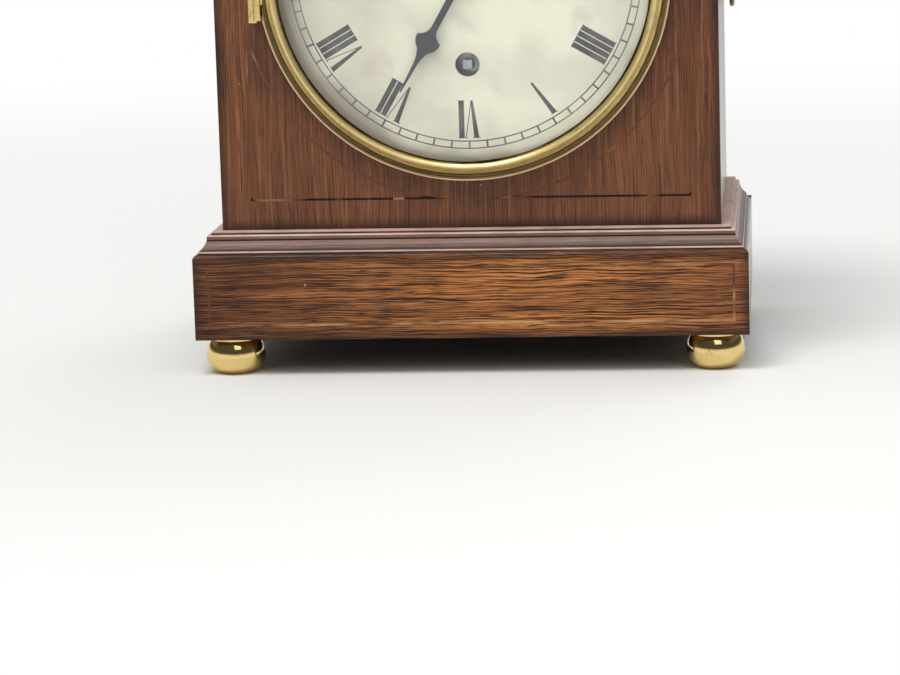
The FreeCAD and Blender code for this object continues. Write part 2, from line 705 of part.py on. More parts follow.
def bezel():
    """Outside to inside: a narrow bright rim, a dark cove and a broad rounded bead over the glass."""
    piece = body("bezel", y="case_front", z="dial_middle")
    cove = "bezel_inner + bead_wide"
    turned(piece, "YZ_Plane", "H_Axis", [
        ("0 - bezel_back", "bezel_inner + rebate"), ("0 - bezel_back", "bezel_outer"),
        ("0 - rim_out + 0.4", "bezel_outer", "0.4", 1), ("0 - rim_out", "bezel_outer - 0.4"),
        ("0 - rim_out", "bezel_outer - rim_wide"),
        ("0 - rim_out + 0.5", "bezel_outer - rim_wide - 0.3", "chord*1.07", -1),
        ("0 - bezel_out + 1.7", cove), ("0 - bezel_out + 1.5", f"{cove} - 0.2", "chord*0.97", 1),
        ("0 - bezel_out", "bezel_inner + bead_wide*0.5", "chord*0.74", 1),
        ("0 - lip_out", "bezel_inner"), ("0 - lip_back", "bezel_inner"),
        ("0 - lip_back", "bezel_inner + rebate"),
    ])
    pad(piece, "XZ_Plane", [rectangle("bezel_outer - 0.9", "bezel_outer + tab_out",
                                      "0 - tab_tall/2", "tab_tall/2")],
        "0 - bezel_back - tab_thick", "0 - bezel_back")
    flat = "hinge_x + hinge_radius + hinge_clear"
    cut(piece, "XZ_Plane", [rectangle("0 - bezel_outer - 2", flat, "0 - 20", "20")],
        "0 - bezel_out - 1", "1")
    return kept(piece)


def dome(edge, rise):
    """The sphere that rises so much over a circle of radius edge."""
    return f"(({edge})^2 + ({rise})^2)/(2*({rise}))"


def bezel_glass():
    edge = "(bezel_inner + rebate - fit)"
    back = "0 - lip_back + 0.1 + glass_thick"
    front = "0 - lip_back + 0.1"
    flat = "(bezel_inner - 0.8)"
    piece = body("bezel_glass", y="case_front", z="dial_middle")
    turned(piece, "YZ_Plane", "H_Axis", [
        (f"{back} - glass_dome", "0", dome(flat, "glass_dome"), -1), (back, flat), (back, edge),
        (front, edge), (front, flat, dome(flat, "glass_dome"), 1), (f"{front} - glass_dome", "0"),
    ])
    return kept(piece)


def bezel_glass_ring():
    """The brass ring that holds the glass in the bezel from behind."""
    back = "0 - lip_back + 0.1 + glass_thick"
    edge = "bezel_inner + rebate - 0.05"
    piece = body("bezel_glass_ring", y="case_front", z="dial_middle")
    turned(piece, "YZ_Plane", "H_Axis", [
        (back, "bezel_inner + 0.3"), (f"{back} + 1.1", "bezel_inner + 0.3"), (f"{back} + 1.1", edge),
        (back, edge),
    ])
    return kept(piece)


def bezel_hinge():
    """Three knuckles upright at nine o'clock: the outer two on the case, the middle one on the bezel."""
    x, y, z = "hinge_x", "hinge_y", "dial_middle"
    bore = ("0", "0", "hinge_pin + pin_clear")
    outer = ("0", "0", "hinge_radius")
    half, end = "hinge_tall/2", "(hinge_tall/2 - hinge_end)"
    leaf = body("bezel_hinge_case_leaf", x=x, y=y, z=z)
    back = "hinge_ahead"
    pad(leaf, "XY_Plane", [rectangle("0 - leaf_wide", "0 - hinge_radius*0.5", f"{back} - leaf_thick", back)],
        f"0 - {half} - 1", f"{half} + 1")
    for low, high in ((f"0 - {half}", f"0 - {end}"), (end, half)):
        pad(leaf, "XY_Plane", [rectangle("0 - hinge_radius", "0 - hinge_radius*0.5", "0", back)], low, high)
        pad(leaf, "XY_Plane", [outer], low, high)
        cut(leaf, "XY_Plane", [bore], f"{low} - 1", f"{high} + 1")
    kept(leaf)
    knuckle = body("bezel_hinge_door_leaf", x=x, y=y, z=z)
    pad(knuckle, "XY_Plane", [outer], f"0 - {end} + fit/2", f"{end} - fit/2")
    pad(knuckle, "XY_Plane", [rectangle("0", "hinge_radius + hinge_clear", "0 - 1", "1")],
        f"0 - {end} + fit/2", f"{end} - fit/2")
    cut(knuckle, "XY_Plane", [bore], f"0 - {end}", end)
    kept(knuckle)
    pin = body("bezel_hinge_pin", x=x, y=y, z=z)
    pad(pin, "XY_Plane", [("0", "0", "hinge_pin")], f"0 - {half}", half)
    return kept(pin)


# Dial and hands.

def dial():
    piece = body("dial", z="dial_middle")
    pad(piece, "XZ_Plane", [("0", "0", "dial_radius"), ("0", "0", "pipe_radius + fit"),
                            ("0", "0 - winding_drop", "winding_hole")], "dial_face", "dial_back")
    return kept(piece)


def dial_feet():
    piece = body("dial_feet", z="dial_middle", solids=4)
    corners = [(f"{a}dial_foot_out", f"{b}dial_foot_out", "dial_foot_radius")
               for a in ("", "0 - ") for b in ("", "0 - ")]
    pad(piece, "XZ_Plane", corners, "dial_back", "plate_face")
    return kept(piece, 4)


def spade_hand(label, middle, wide, shaft, reach, boss, hole, ahead):
    """A flat steel hand pointing to twelve: round boss, straight shaft, spade and a fine tip."""
    piece = body(label, z="dial_middle")
    near = f"({middle} - {wide}*0.62)"
    swell = f"({wide}*0.52)"
    pad(piece, "XZ_Plane", [[
        (f"{shaft}/2", f"sqrt({boss}^2 - {shaft}^2/4) - 0.2"), (f"{shaft}/2", near, swell, -1),
        (f"{wide}/2", f"{middle} - {wide}*0.08", swell, 1),
        (f"{wide}*0.26", f"{middle} + {wide}*0.42", f"{wide}*1.5", -1),
        (f"{shaft}*0.32", f"{middle} + {wide}*1.05"), ("0.25", reach), ("0 - 0.25", reach),
        (f"0 - {shaft}*0.32", f"{middle} + {wide}*1.05", f"{wide}*1.5", -1),
        (f"0 - {wide}*0.26", f"{middle} + {wide}*0.42", swell, 1),
        (f"0 - {wide}/2", f"{middle} - {wide}*0.08", swell, -1), (f"0 - {shaft}/2", near),
        (f"0 - {shaft}/2", f"sqrt({boss}^2 - {shaft}^2/4) - 0.2"),
    ]], f"dial_face - {ahead} - hand_thick", f"dial_face - {ahead}")
    pad(piece, "XZ_Plane", [("0", "0", boss)], f"dial_face - {ahead} - hand_thick",
        f"dial_face - {ahead}")
    cut(piece, "XZ_Plane", [("0", "0", hole)], f"dial_face - {ahead} - 2", f"dial_face - {ahead} + 1")
    return piece


def hour_hand():
    hand = spade_hand("hour_hand", "spade_middle", "spade_wide", "hour_wide", "hour_reach", "boss_hour",
                      "pipe_radius", "hour_ahead")
    hand.Placement = FreeCAD.Placement(Vector(0, 0, 0), Rotation(Vector(0, 1, 0), size("hour_angle")))
    hand.setExpression("Placement.Base.z", bound("dial_middle"))
    return kept(hand)


def minute_hand():
    return kept(spade_hand("minute_hand", "minute_spade", "minute_spade_wide", "minute_wide",
                           "minute_reach", "boss_minute", "cannon_radius", "minute_ahead"))


def hand_nut():
    piece = body("hand_nut", z="dial_middle")
    front = "dial_face - minute_ahead - hand_thick"
    pad(piece, "XZ_Plane", [("0", "0", "nut_radius"), ("0", "0", "centre_arbor")],
        f"{front} - nut_thick", front)
    return kept(piece)


# Movement plates.

def along(x, z):
    """A point of the dial plane, from the dial's middle."""
    return Vector(x, 0, z)


def crossing(first, one, second, other, side):
    """Where two circles round first and second meet, to the given side of the line between them."""
    apart = second - first
    far = apart.Length
    part = (one ** 2 - other ** 2 + far ** 2) / (2 * far)
    rise = math.sqrt(one ** 2 - part ** 2)
    ahead = apart.normalize()
    return first + ahead * part + along(-ahead.z, ahead.x) * rise * side


def spacing(pair):
    wheel, pinion, module = pair
    return (wheel + pinion) * module / 2


def arbor_places():
    """Where each arbor stands, from the tooth counts and modules."""
    centre = along(0, 0)
    barrel = along(0, -size("winding_drop"))
    aside = size("third_aside")
    third = along(-aside, math.sqrt(spacing(CENTRE_TO_THIRD) ** 2 - aside ** 2))
    fourth = along(0, third.z + math.sqrt(spacing(THIRD_TO_FOURTH) ** 2 - third.x ** 2))
    escape = along(0, fourth.z + spacing(FOURTH_TO_ESCAPE))
    return dict(
        centre=centre, barrel=barrel, third=third, fourth=fourth, escape=escape,
        intermediate=crossing(barrel, spacing(BARREL_TO_INTERMEDIATE), centre,
                              spacing(INTERMEDIATE_TO_CENTRE), -1),
        minute=along(-1, 1) * (spacing(MINUTE_TO_CANNON) / math.sqrt(2)),
        lever=along(size("lever_reach"), escape.z),
        balance=along(size("balance_reach"), escape.z),
    )


ARBORS = arbor_places()
PILLARS = [along(a * (size("plate_half - pillar_inset")), z)
           for a in (1, -1) for z in (size("plate_up - pillar_inset"), -size("plate_down - pillar_inset"))]


def rod(place, radius, low, high):
    """A round bar along Y at an arbor's place, between two depths."""
    return Part.makeCylinder(radius, high - low, Vector(place.x, low, place.z), Vector(0, 1, 0))


def plate(low, high, holes):
    """A movement plate with its pivot holes."""
    half, up, down = size("plate_half"), size("plate_up"), size("plate_down")
    sheet_metal = Part.makeBox(2 * half, high - low, up + down, Vector(-half, low, -down))
    upright = [e for e in sheet_metal.Edges if abs(e.tangentAt(e.FirstParameter).y) > 0.9]
    sheet_metal = sheet_metal.makeFillet(3, upright)
    for place, radius in holes:
        sheet_metal = sheet_metal.cut(rod(place, radius, low - 1, high + 1))
    return sheet_metal


def pivot(name):
    """Pivot radius of an arbor."""
    if name == "barrel":
        return size("winding_radius")
    if name == "centre":
        return size("centre_arbor")
    return size("thin_arbor") if name in ("fourth", "third", "intermediate") else size("thin_arbor") / 2


def pivot_hole(name):
    return (ARBORS[name], pivot(name) + size("pivot_clear"))


def front_plate():
    """Carries the front pivots, and the studs of the minute wheel and the click."""
    low, high = size("plate_face"), size("between")
    names = ("centre", "barrel", "intermediate", "third", "fourth")
    shape = plate(low, high, [pivot_hole(name) for name in names])
    shape = shape.fuse(rod(ARBORS["minute"], size("stud_thick"), low - 5.2, low + 0.5))
    shape = shape.fuse(rod(click_place(), size("stud_thick"), low - 2.6, low + 0.5))
    return shaped("front_plate", shape.removeSplitter(), z="dial_middle")


def back_plate():
    low, high = size("back_plate_face"), size("back_plate_end")
    names = ("centre", "barrel", "intermediate", "third")
    holes = [pivot_hole(name) for name in names] + [(ARBORS["fourth"], size("thin_arbor + 0.6"))]
    return shaped("back_plate", plate(low, high, holes), z="dial_middle")


def movement_pillars():
    low, high = size("between"), size("back_plate_face")
    posts = [rod(place, size("pillar_radius"), low, high) for place in PILLARS]
    return shaped("movement_pillars", Part.makeCompound(posts), z="dial_middle", solids=4)


def pillar_nuts():
    """Hexagon nuts outside both plates, on the ends of the pillars."""
    nuts = []
    for place in PILLARS:
        for low, high in ((size("plate_face - nut_tall"), size("plate_face")),
                          (size("back_plate_end"), size("back_plate_end + nut_tall"))):
            reach = size("nut_across") / math.sqrt(3)
            ring = [Vector(place.x + reach * math.cos(math.radians(60 * i)), low,
                           place.z + reach * math.sin(math.radians(60 * i))) for i in range(7)]
            nuts.append(Part.Face(Part.makePolygon(ring)).extrude(Vector(0, high - low, 0)))
    return shaped("pillar_nuts", Part.makeCompound(nuts), z="dial_middle", solids=8)


# Toothed wheels. Leaves are narrower and lower than teeth, as shares of their pitch and module.

LEAF_WIDE = 0.32
LEAF_ABOVE = 0.6


def gear(teeth, module, low, high, facing, tooth_first, wide=0.36, above=0.75, below=1.2):
    """A wheel or pinion blank with straight-sided teeth, round the Y axis. Facing is the direction of its
    partner in degrees from +X towards +Z: a tooth stands there if tooth_first, and otherwise a gap."""
    pitch = teeth * module / 2
    step = 2 * math.pi / teeth
    start = math.radians(facing) + (0 if tooth_first else step / 2)
    ring = []
    for i in range(teeth):
        middle = start + i * step
        for radius, share in ((pitch - below * module, wide * 0.6), (pitch, wide / 2),
                              (pitch + above * module, wide * 0.2)):
            ring.append((radius, middle - share * step))
        for radius, share in ((pitch + above * module, wide * 0.2), (pitch, wide / 2),
                              (pitch - below * module, wide * 0.6)):
            ring.append((radius, middle + share * step))
    points = [Vector(r * math.cos(a), low, r * math.sin(a)) for r, a in ring]
    return Part.Face(Part.makePolygon(points + points[:1])).extrude(Vector(0, high - low, 0))


def spokes(wheel, hub, rim, low, high, count=4, wide=2):
    """Crosses a wheel out, leaving straight arms between its hub and rim."""
    waste = rod(along(0, 0), rim, low - 1, high + 1).cut(rod(along(0, 0), hub, low - 2, high + 2))
    for i in range(count // 2):
        arm = Part.makeBox(2 * rim + 2, high - low + 6, wide, Vector(-rim - 1, low - 3, -wide / 2))
        arm.rotate(Vector(0, 0, 0), Vector(0, 1, 0), 45 + 360 * i / count)
        waste = waste.cut(arm)
    return wheel.cut(waste)


def pinion(pair, name, partner, start, thick):
    """The leaves on an arbor that a partner's wheel drives, a little longer than that wheel is thick."""
    _, count, module = pair
    over = size("pinion_over")
    return gear(count, module, start - over, start + size(thick) + over, direction(name, partner), False,
                wide=LEAF_WIDE, above=LEAF_ABOVE)


def crossed(pair, name, partner, start, thick, hub, arm="spoke_wide"):
    """The wheel on an arbor that drives a partner's pinion, crossed out."""
    teeth, _, module = pair
    low, high = start, start + size(thick)
    wheel = gear(teeth, module, low, high, direction(name, partner), True)
    return spokes(wheel, hub, teeth * module / 2 - size("rim_deep"), low, high, wide=size(arm))


def direction(first, second):
    """The direction from one arbor to another in the dial plane, in degrees."""
    apart = ARBORS[second] - ARBORS[first]
    return math.degrees(math.atan2(apart.z, apart.x))


def arbor(name, radius, front=None, back=None):
    """An arbor between the plates with a thinner pivot at each end."""
    low, high = size("between"), size("back_plate_face")
    shake, long = size("shake"), size("pivot_long")
    body_part = rod(along(0, 0), radius, low + shake, high - shake)
    thin = rod(along(0, 0), pivot(name), (low - long) if front is None else front,
               (high + long) if back is None else back)
    return body_part.fuse(thin)


def placed(label, shape, name):
    """Puts a piece of the movement on its arbor."""
    place = ARBORS[name]
    piece = shaped(label, shape.removeSplitter())
    piece.Placement = FreeCAD.Placement(Vector(place.x, 0, size("dial_middle") + place.z), Rotation())
    return piece


def spring_barrel():
    """Great wheel, drum and cap in one, turning on the winding arbor."""
    start = size("between + drum_start")
    wheel, pinion, module = BARREL_TO_INTERMEDIATE
    great = gear(wheel, module, start - size("great_thick"), start,
                 direction("barrel", "intermediate"), True)
    end = start + size("drum_long")
    drum = rod(along(0, 0), size("drum_radius"), start, end)
    room = rod(along(0, 0), size("drum_radius - drum_wall"), start + 1.2, end - 1.2)
    bore = rod(along(0, 0), size("winding_radius + hook_clear"), start - 5, end + 5)
    return placed("spring_barrel", great.fuse(drum).cut(room).cut(bore), "barrel")


def mainspring():
    """The coiled spring as one ring of its outer shape, inside the drum."""
    start = size("between + drum_start") + 1.2 + size("spring_clear")
    end = size("between + drum_start + drum_long") - 1.2 - size("spring_clear")
    coil = rod(along(0, 0), size("drum_radius - drum_wall - spring_clear"), start, end)
    return placed("mainspring", coil.cut(rod(along(0, 0), size("spring_inner"), start - 1, end + 1)),
                  "barrel")


def winding_arbor():
    """Runs through both plates, with a square for the key behind the hole in the dial."""
    plate_front = size("plate_face")
    round_part = rod(along(0, 0), size("winding_radius"), plate_front - 3, size("back_plate_end + 1"))
    half = size("winding_square") / 2
    length = plate_front - 2 - size("dial_face + 0.5")
    square = Part.makeBox(2 * half, length, 2 * half, Vector(-half, plate_front - 2 - length, -half))
    return placed("winding_arbor", round_part.fuse(square), "barrel")


RATCHET_GAP = 0.5
CLICK_CLEAR = 0.35


def ratchet_wheel():
    """Sloped teeth on the winding arbor, in front of the front plate."""
    outer = size("ratchet_radius")
    count = int(size("ratchet_teeth"))
    high = size("plate_face") - RATCHET_GAP
    low = high - size("ratchet_thick")
    ring = []
    for i in range(count):
        angle = 2 * math.pi * i / count
        ring.append((outer, angle))
        ring.append((outer - 1.1, angle + 0.04))
    points = [Vector(r * math.cos(a), low, r * math.sin(a)) for r, a in ring]
    blank = Part.Face(Part.makePolygon(points + points[:1])).extrude(Vector(0, high - low, 0))
    bore = rod(along(0, 0), size("winding_radius"), low - 1, high + 1)
    return placed("ratchet_wheel", blank.cut(bore), "barrel")


def click_place():
    """The click's stud, beside the ratchet wheel."""
    return ARBORS["barrel"] + along(size("ratchet_radius") + 5, 7)


def click():
    """A pawl held just clear of the ratchet's teeth."""
    high = size("plate_face") - RATCHET_GAP
    low = high - size("ratchet_thick")
    place = click_place()
    toward = ARBORS["barrel"] + along(size("ratchet_radius") + CLICK_CLEAR, 1.2)
    arm = toward - place
    across = along(-arm.z, arm.x).normalize()
    ring = [place + across * 1.8, toward + across * 0.3, toward - across * 0.5, place - across * 1.8]
    points = [Vector(p.x, low, p.z) for p in ring]
    pawl = Part.Face(Part.makePolygon(points + points[:1])).extrude(Vector(0, high - low, 0))
    pawl = pawl.fuse(rod(place, 2.2, low, high))
    pawl = pawl.cut(rod(place, size("stud_thick + pivot_clear"), low - 1, high + 1))
    return shaped("click", pawl.removeSplitter(), z="dial_middle")


def intermediate_wheel():
    great = size("between + drum_start - great_thick")
    leaves = pinion(BARREL_TO_INTERMEDIATE, "intermediate", "barrel", great, "great_thick")
    wheel = crossed(INTERMEDIATE_TO_CENTRE, "intermediate", "centre",
                    size("between + intermediate_at"), "wheel_thick", 3)
    return placed("intermediate_wheel", arbor("intermediate", size("arbor_radius")).fuse(leaves).fuse(wheel),
                  "intermediate")


def centre_wheel():
    leaves = pinion(INTERMEDIATE_TO_CENTRE, "centre", "intermediate",
                    size("between + intermediate_at"), "wheel_thick")
    wheel = crossed(CENTRE_TO_THIRD, "centre", "third", size("between + centre_at"), "wheel_thick", 3.4)
    front = size("dial_face - minute_ahead - hand_thick - nut_thick - 0.4")
    stem = arbor("centre", size("centre_arbor + 0.2"), front=front)
    return placed("centre_wheel", stem.fuse(leaves).fuse(wheel), "centre")


def cannon_pinion():
    """A tube with leaves, friction-tight on the centre arbor, that carries the minute hand."""
    high = size("plate_face - shake")
    low = size("dial_face - minute_ahead - hand_thick")
    _, count, module = MINUTE_TO_CANNON
    leaves = gear(count, module, high - 2, high - 0.2, direction("centre", "minute"), False,
                  wide=LEAF_WIDE, above=LEAF_ABOVE)
    tube = rod(along(0, 0), size("cannon_radius"), low, high).fuse(leaves)
    return placed("cannon_pinion", tube.cut(rod(along(0, 0), size("centre_arbor"), low - 1, high + 1)),
                  "centre")


def minute_wheel():
    high = size("plate_face - motion_clear")
    low = high - size("thin_wheel")
    teeth, _, module = MINUTE_TO_CANNON
    wheel = gear(teeth, module, low, high, direction("minute", "centre"), True)
    _, count, fine = HOUR_TO_MINUTE
    leaves = gear(count, fine, low - 2.7, low, direction("minute", "centre"), False,
                  wide=LEAF_WIDE, above=LEAF_ABOVE)
    bore = rod(along(0, 0), size("stud_thick + pivot_clear"), low - 4, high + 1)
    return placed("minute_wheel", wheel.fuse(leaves).cut(bore), "minute")


def hour_wheel():
    """Turns on the cannon pinion and carries the hour hand on its pipe."""
    high = size("plate_face - motion_clear - thin_wheel - pinion_over")
    teeth, _, module = HOUR_TO_MINUTE
    wheel = gear(teeth, module, high - size("thin_wheel"), high, direction("centre", "minute"), True)
    pipe = rod(along(0, 0), size("pipe_radius"), size("dial_face - hour_ahead - hand_thick"), high)
    bore = rod(along(0, 0), size("cannon_radius + hook_clear"), size("dial_face") - 9, high + 1)
    return placed("hour_wheel", wheel.fuse(pipe).cut(bore), "centre")


def third_wheel():
    leaves = pinion(CENTRE_TO_THIRD, "third", "centre", size("between + centre_at"), "wheel_thick")
    wheel = crossed(THIRD_TO_FOURTH, "third", "fourth", size("between + third_at"), "thin_wheel", 2.4,
                    "thin_spoke")
    return placed("third_wheel", arbor("third", size("arbor_radius")).fuse(leaves).fuse(wheel), "third")


def fourth_wheel():
    """Its arbor passes through the back plate, and its wheel turns behind it."""
    leaves = pinion(THIRD_TO_FOURTH, "fourth", "third", size("between + third_at"), "thin_wheel")
    wheel = crossed(FOURTH_TO_ESCAPE, "fourth", "escape", size("back_plate_end + fourth_at"), "thin_wheel",
                    2, "thin_spoke")
    stem = arbor("fourth", size("thin_arbor + 0.2"), back=size("back_plate_end + cock_at + cock_thick"))
    return placed("fourth_wheel", stem.fuse(leaves).fuse(wheel), "fourth")


# Platform escapement, behind the back plate.

def platform():
    """A plate on four short feet behind the back plate, with pivot holes for the escapement."""
    low = size("back_plate_end + platform_gap")
    high = size("platform_end")
    middle = ARBORS["escape"].z
    shape = Part.makeBox(36, high - low, 19, Vector(-9, low, middle - 9.5))
    shape = shape.cut(rod(ARBORS["fourth"], size("thin_arbor + 0.8"), low - 1, high + 1))
    for name in ("escape", "lever", "balance"):
        shape = shape.cut(rod(*pivot_hole(name), low - 1, high + 1))
    for x in (-6.5, 24.5):
        for z in (middle - 7, middle + 7):
            foot = rod(along(x, z), 1.6, size("back_plate_end"), low + 0.5)
            shape = shape.fuse(foot)
    return shaped("platform", shape.removeSplitter(), z="dial_middle")


def cock(label, outline, foot, low, high, holes):
    """A flat bridge on a post that stands on the platform."""
    points = [Vector(x, low, z) for x, z in outline]
    shape = Part.Face(Part.makePolygon(points + points[:1])).extrude(Vector(0, high - low, 0))
    shape = shape.fuse(rod(foot, 1.9, size("platform_end"), low + 0.3))
    for place, radius in holes:
        shape = shape.cut(rod(place, radius, low - 1, high + 1))
    return shaped(label, shape.removeSplitter(), z="dial_middle")


def train_cock():
    low = size("back_plate_end + cock_at")
    top = ARBORS["escape"].z
    outline = [(-2.5, ARBORS["fourth"].z - 2.5), (2.5, ARBORS["fourth"].z - 2.5), (8.5, top - 2.5),
               (8.5, top + 2), (2, top + 9.3), (-2.5, top + 9.3)]
    return cock("train_cock", outline, along(0, top + 7), low, low + size("cock_thick"),
                [pivot_hole("escape"), pivot_hole("lever"),
                 (ARBORS["fourth"], size("thin_arbor + pivot_clear"))])


def balance_cock():
    low = size("back_plate_end + balance_cock_at")
    middle = ARBORS["balance"]
    outline = [(middle.x - 2.5, middle.z - 2.5), (middle.x + 11.5, middle.z - 2.5),
               (middle.x + 11.5, middle.z + 2.5), (middle.x - 2.5, middle.z + 2.5)]
    return cock("balance_cock", outline, middle + along(9.2, 0), low,
                low + size("balance_cock_thick"), [pivot_hole("balance")])


def small_arbor(bridge, thick, radius):
    """An arbor of the escapement from the platform to its bridge, with fine pivots."""
    start = size("platform_end")
    low = size("back_plate_end") + size(bridge)
    shake = size("shake")
    return rod(along(0, 0), radius, start + shake, low - shake).fuse(
        rod(along(0, 0), size("thin_arbor") / 2, start - 1.2, low + size(thick)))


def escape_wheel():
    """Fifteen raked teeth, with a six-leaf pinion in the fourth wheel."""
    wheel_start, over = size("back_plate_end + fourth_at"), 0.6
    _, count, module = FOURTH_TO_ESCAPE
    leaves = gear(count, module, wheel_start - over, wheel_start + size("thin_wheel") + over,
                  direction("escape", "fourth"), False, wide=0.3, above=0.55, below=1.1)
    teeth = int(size("escape_teeth"))
    outer = size("escape_radius")
    ring = []
    for i in range(teeth):
        angle = 2 * math.pi * i / teeth
        ring += [(outer - 1.1, angle - 0.16), (outer, angle + 0.05), (outer, angle + 0.1),
                 (outer - 1.1, angle + 0.04)]
    low = size("back_plate_end + escape_at")
    high = low + size("escape_thick")
    points = [Vector(r * math.cos(a), low, r * math.sin(a)) for r, a in ring]
    wheel = Part.Face(Part.makePolygon(points + points[:1])).extrude(Vector(0, high - low, 0))
    stem = small_arbor("cock_at", "cock_thick", 0.5)
    return placed("escape_wheel", stem.fuse(leaves).fuse(wheel), "escape")


def pallet_lever():
    """The lever between the escape wheel and the balance, held clear of both."""
    low = size("back_plate_end + escape_at")
    high = low + size("escape_thick")
    outline = [(-1.6, 3.1), (-0.9, 3.1), (-0.6, 0.6), (4.6, 0.35), (5.4, 0.9), (5.4, -0.9),
               (4.6, -0.35), (-0.6, -0.6), (-0.9, -3.1), (-1.6, -3.1), (-1.1, 0)]
    points = [Vector(x, low, z) for x, z in outline]
    shape = Part.Face(Part.makePolygon(points + points[:1])).extrude(Vector(0, high - low, 0))
    stem = small_arbor("cock_at", "cock_thick", 0.5)
    return placed("pallet_lever", shape.fuse(stem), "lever")


def balance_wheel():
    """A rimmed wheel with two arms and a small roller disc."""
    low = size("back_plate_end + balance_at")
    high = low + size("balance_rim")
    outer, rim = size("balance_radius"), size("balance_rim")
    wheel = rod(along(0, 0), outer, low, high)
    wheel = spokes(wheel, 1.4, outer - rim, low, high, count=2, wide=1.3)
    roller_low = size("back_plate_end + roller_at")
    roller = rod(along(0, 0), 1.5, roller_low, roller_low + 0.6)
    stem = small_arbor("balance_cock_at", "balance_cock_thick", 0.55)
    return placed("balance_wheel", wheel.fuse(roller).fuse(stem), "balance")


for make in (
    plinth_front, plinth_sides_back, plinth_floor, bun_feet, plinth_moulding, plinth_stringing,
    front_panel, front_stringing, side_panels, case_top, back_rail, seat_board, seat_bearers,
    cornice, roof, roof_pad, finial, handle_plates,
):
    make()
ring_handle("ring_handle_left", "0 - ")
ring_handle("ring_handle_right", "")
for make in (
    back_door, door_hinges, door_button, bezel_seat, bezel, bezel_glass, bezel_glass_ring,
    bezel_hinge, dial, dial_feet, hour_hand, minute_hand, hand_nut,
    front_plate, back_plate, movement_pillars, pillar_nuts, spring_barrel, mainspring,
    winding_arbor, ratchet_wheel, click, intermediate_wheel, centre_wheel, cannon_pinion,
    minute_wheel, hour_wheel, third_wheel, fourth_wheel, platform, train_cock, balance_cock,
    escape_wheel, pallet_lever, balance_wheel,
):
    make()

doc.recompute()
for item in doc.Objects:
    if "Invalid" in item.State or "Error" in item.State:
        raise ValueError(f"{item.Label} is {item.State}")
bad = [(piece.Label, len(piece.Shape.Solids)) for piece, solids in pieces
       if piece.Shape.isNull() or not piece.Shape.isValid() or len(piece.Shape.Solids) != solids]
if bad:
    raise ValueError(f"pieces with a bad shape or number of solids: {bad}")

os.makedirs("parts", exist_ok=True)
for piece, solids in pieces:
    piece.Shape.exportStep(f"parts/{piece.Label}.step")
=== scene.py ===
import math
import bmesh
import bpy
from mathutils import Matrix, Vector


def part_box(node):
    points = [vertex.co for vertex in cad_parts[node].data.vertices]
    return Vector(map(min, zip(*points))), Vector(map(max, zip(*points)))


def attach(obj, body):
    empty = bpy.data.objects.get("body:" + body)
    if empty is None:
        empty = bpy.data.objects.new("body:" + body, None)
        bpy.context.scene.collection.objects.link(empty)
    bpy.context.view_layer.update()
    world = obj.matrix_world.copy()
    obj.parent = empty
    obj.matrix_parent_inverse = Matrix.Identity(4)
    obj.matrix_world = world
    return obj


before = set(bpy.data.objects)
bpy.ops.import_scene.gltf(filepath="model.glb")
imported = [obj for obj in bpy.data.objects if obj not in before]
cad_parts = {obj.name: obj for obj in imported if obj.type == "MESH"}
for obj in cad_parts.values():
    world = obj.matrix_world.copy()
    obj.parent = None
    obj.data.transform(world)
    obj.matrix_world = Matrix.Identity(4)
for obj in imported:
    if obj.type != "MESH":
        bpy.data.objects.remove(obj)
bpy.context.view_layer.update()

# ---------------------------------------------------------------------------------------------------
# Bun feet. Four squat balls turned from solid brass and polished bright. They stand on the table and
# carry the plinth; dust and old lacquer leave them a little duller in patches.


def linear(code):
    """The linear colour of an sRGB hex value."""
    parts = [int(code[i:i + 2], 16) / 255 for i in (1, 3, 5)]
    return [p / 12.92 if p <= 0.04045 else ((p + 0.055) / 1.055) ** 2.4 for p in parts] + [1]


def node(tree, kind, inputs=None, **settings):
    """Adds one node. An input is set to a value, or linked where it is given another node's output."""
    made = tree.nodes.new(kind)
    for name, value in settings.items():
        setattr(made, name, value)
    for key, value in (inputs or {}).items():
        if isinstance(value, bpy.types.NodeSocket):
            tree.links.new(value, made.inputs[key])
        else:
            made.inputs[key].default_value = value
    return made


def finish(name, **constants):
    """A new material with its plain shader, and the place of each point on the piece in metres."""
    material = bpy.data.materials.new(name)
    material.use_nodes = True
    tree = material.node_tree
    shader = tree.nodes["Principled BSDF"]
    for socket, value in constants.items():
        shader.inputs[socket.replace("_", " ")].default_value = value
    return material, tree, shader, node(tree, "ShaderNodeTexCoord").outputs["Object"]


def patches(tree, place, apart, detail, low, high, least=0.0, most=1.0):
    """Cloudy patches about so many millimetres apart, running from least to most."""
    cloud = node(tree, "ShaderNodeTexNoise", {"Vector": place, "Scale": 1000 / apart, "Detail": detail})
    return node(tree, "ShaderNodeMapRange", {"Value": cloud.outputs[0], "From Min": low, "From Max": high,
                                             "To Min": least, "To Max": most}).outputs[0]


def dress(material, *names):
    """Gives CAD nodes a material."""
    for name in names:
        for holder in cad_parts[name].material_slots:
            holder.material = material


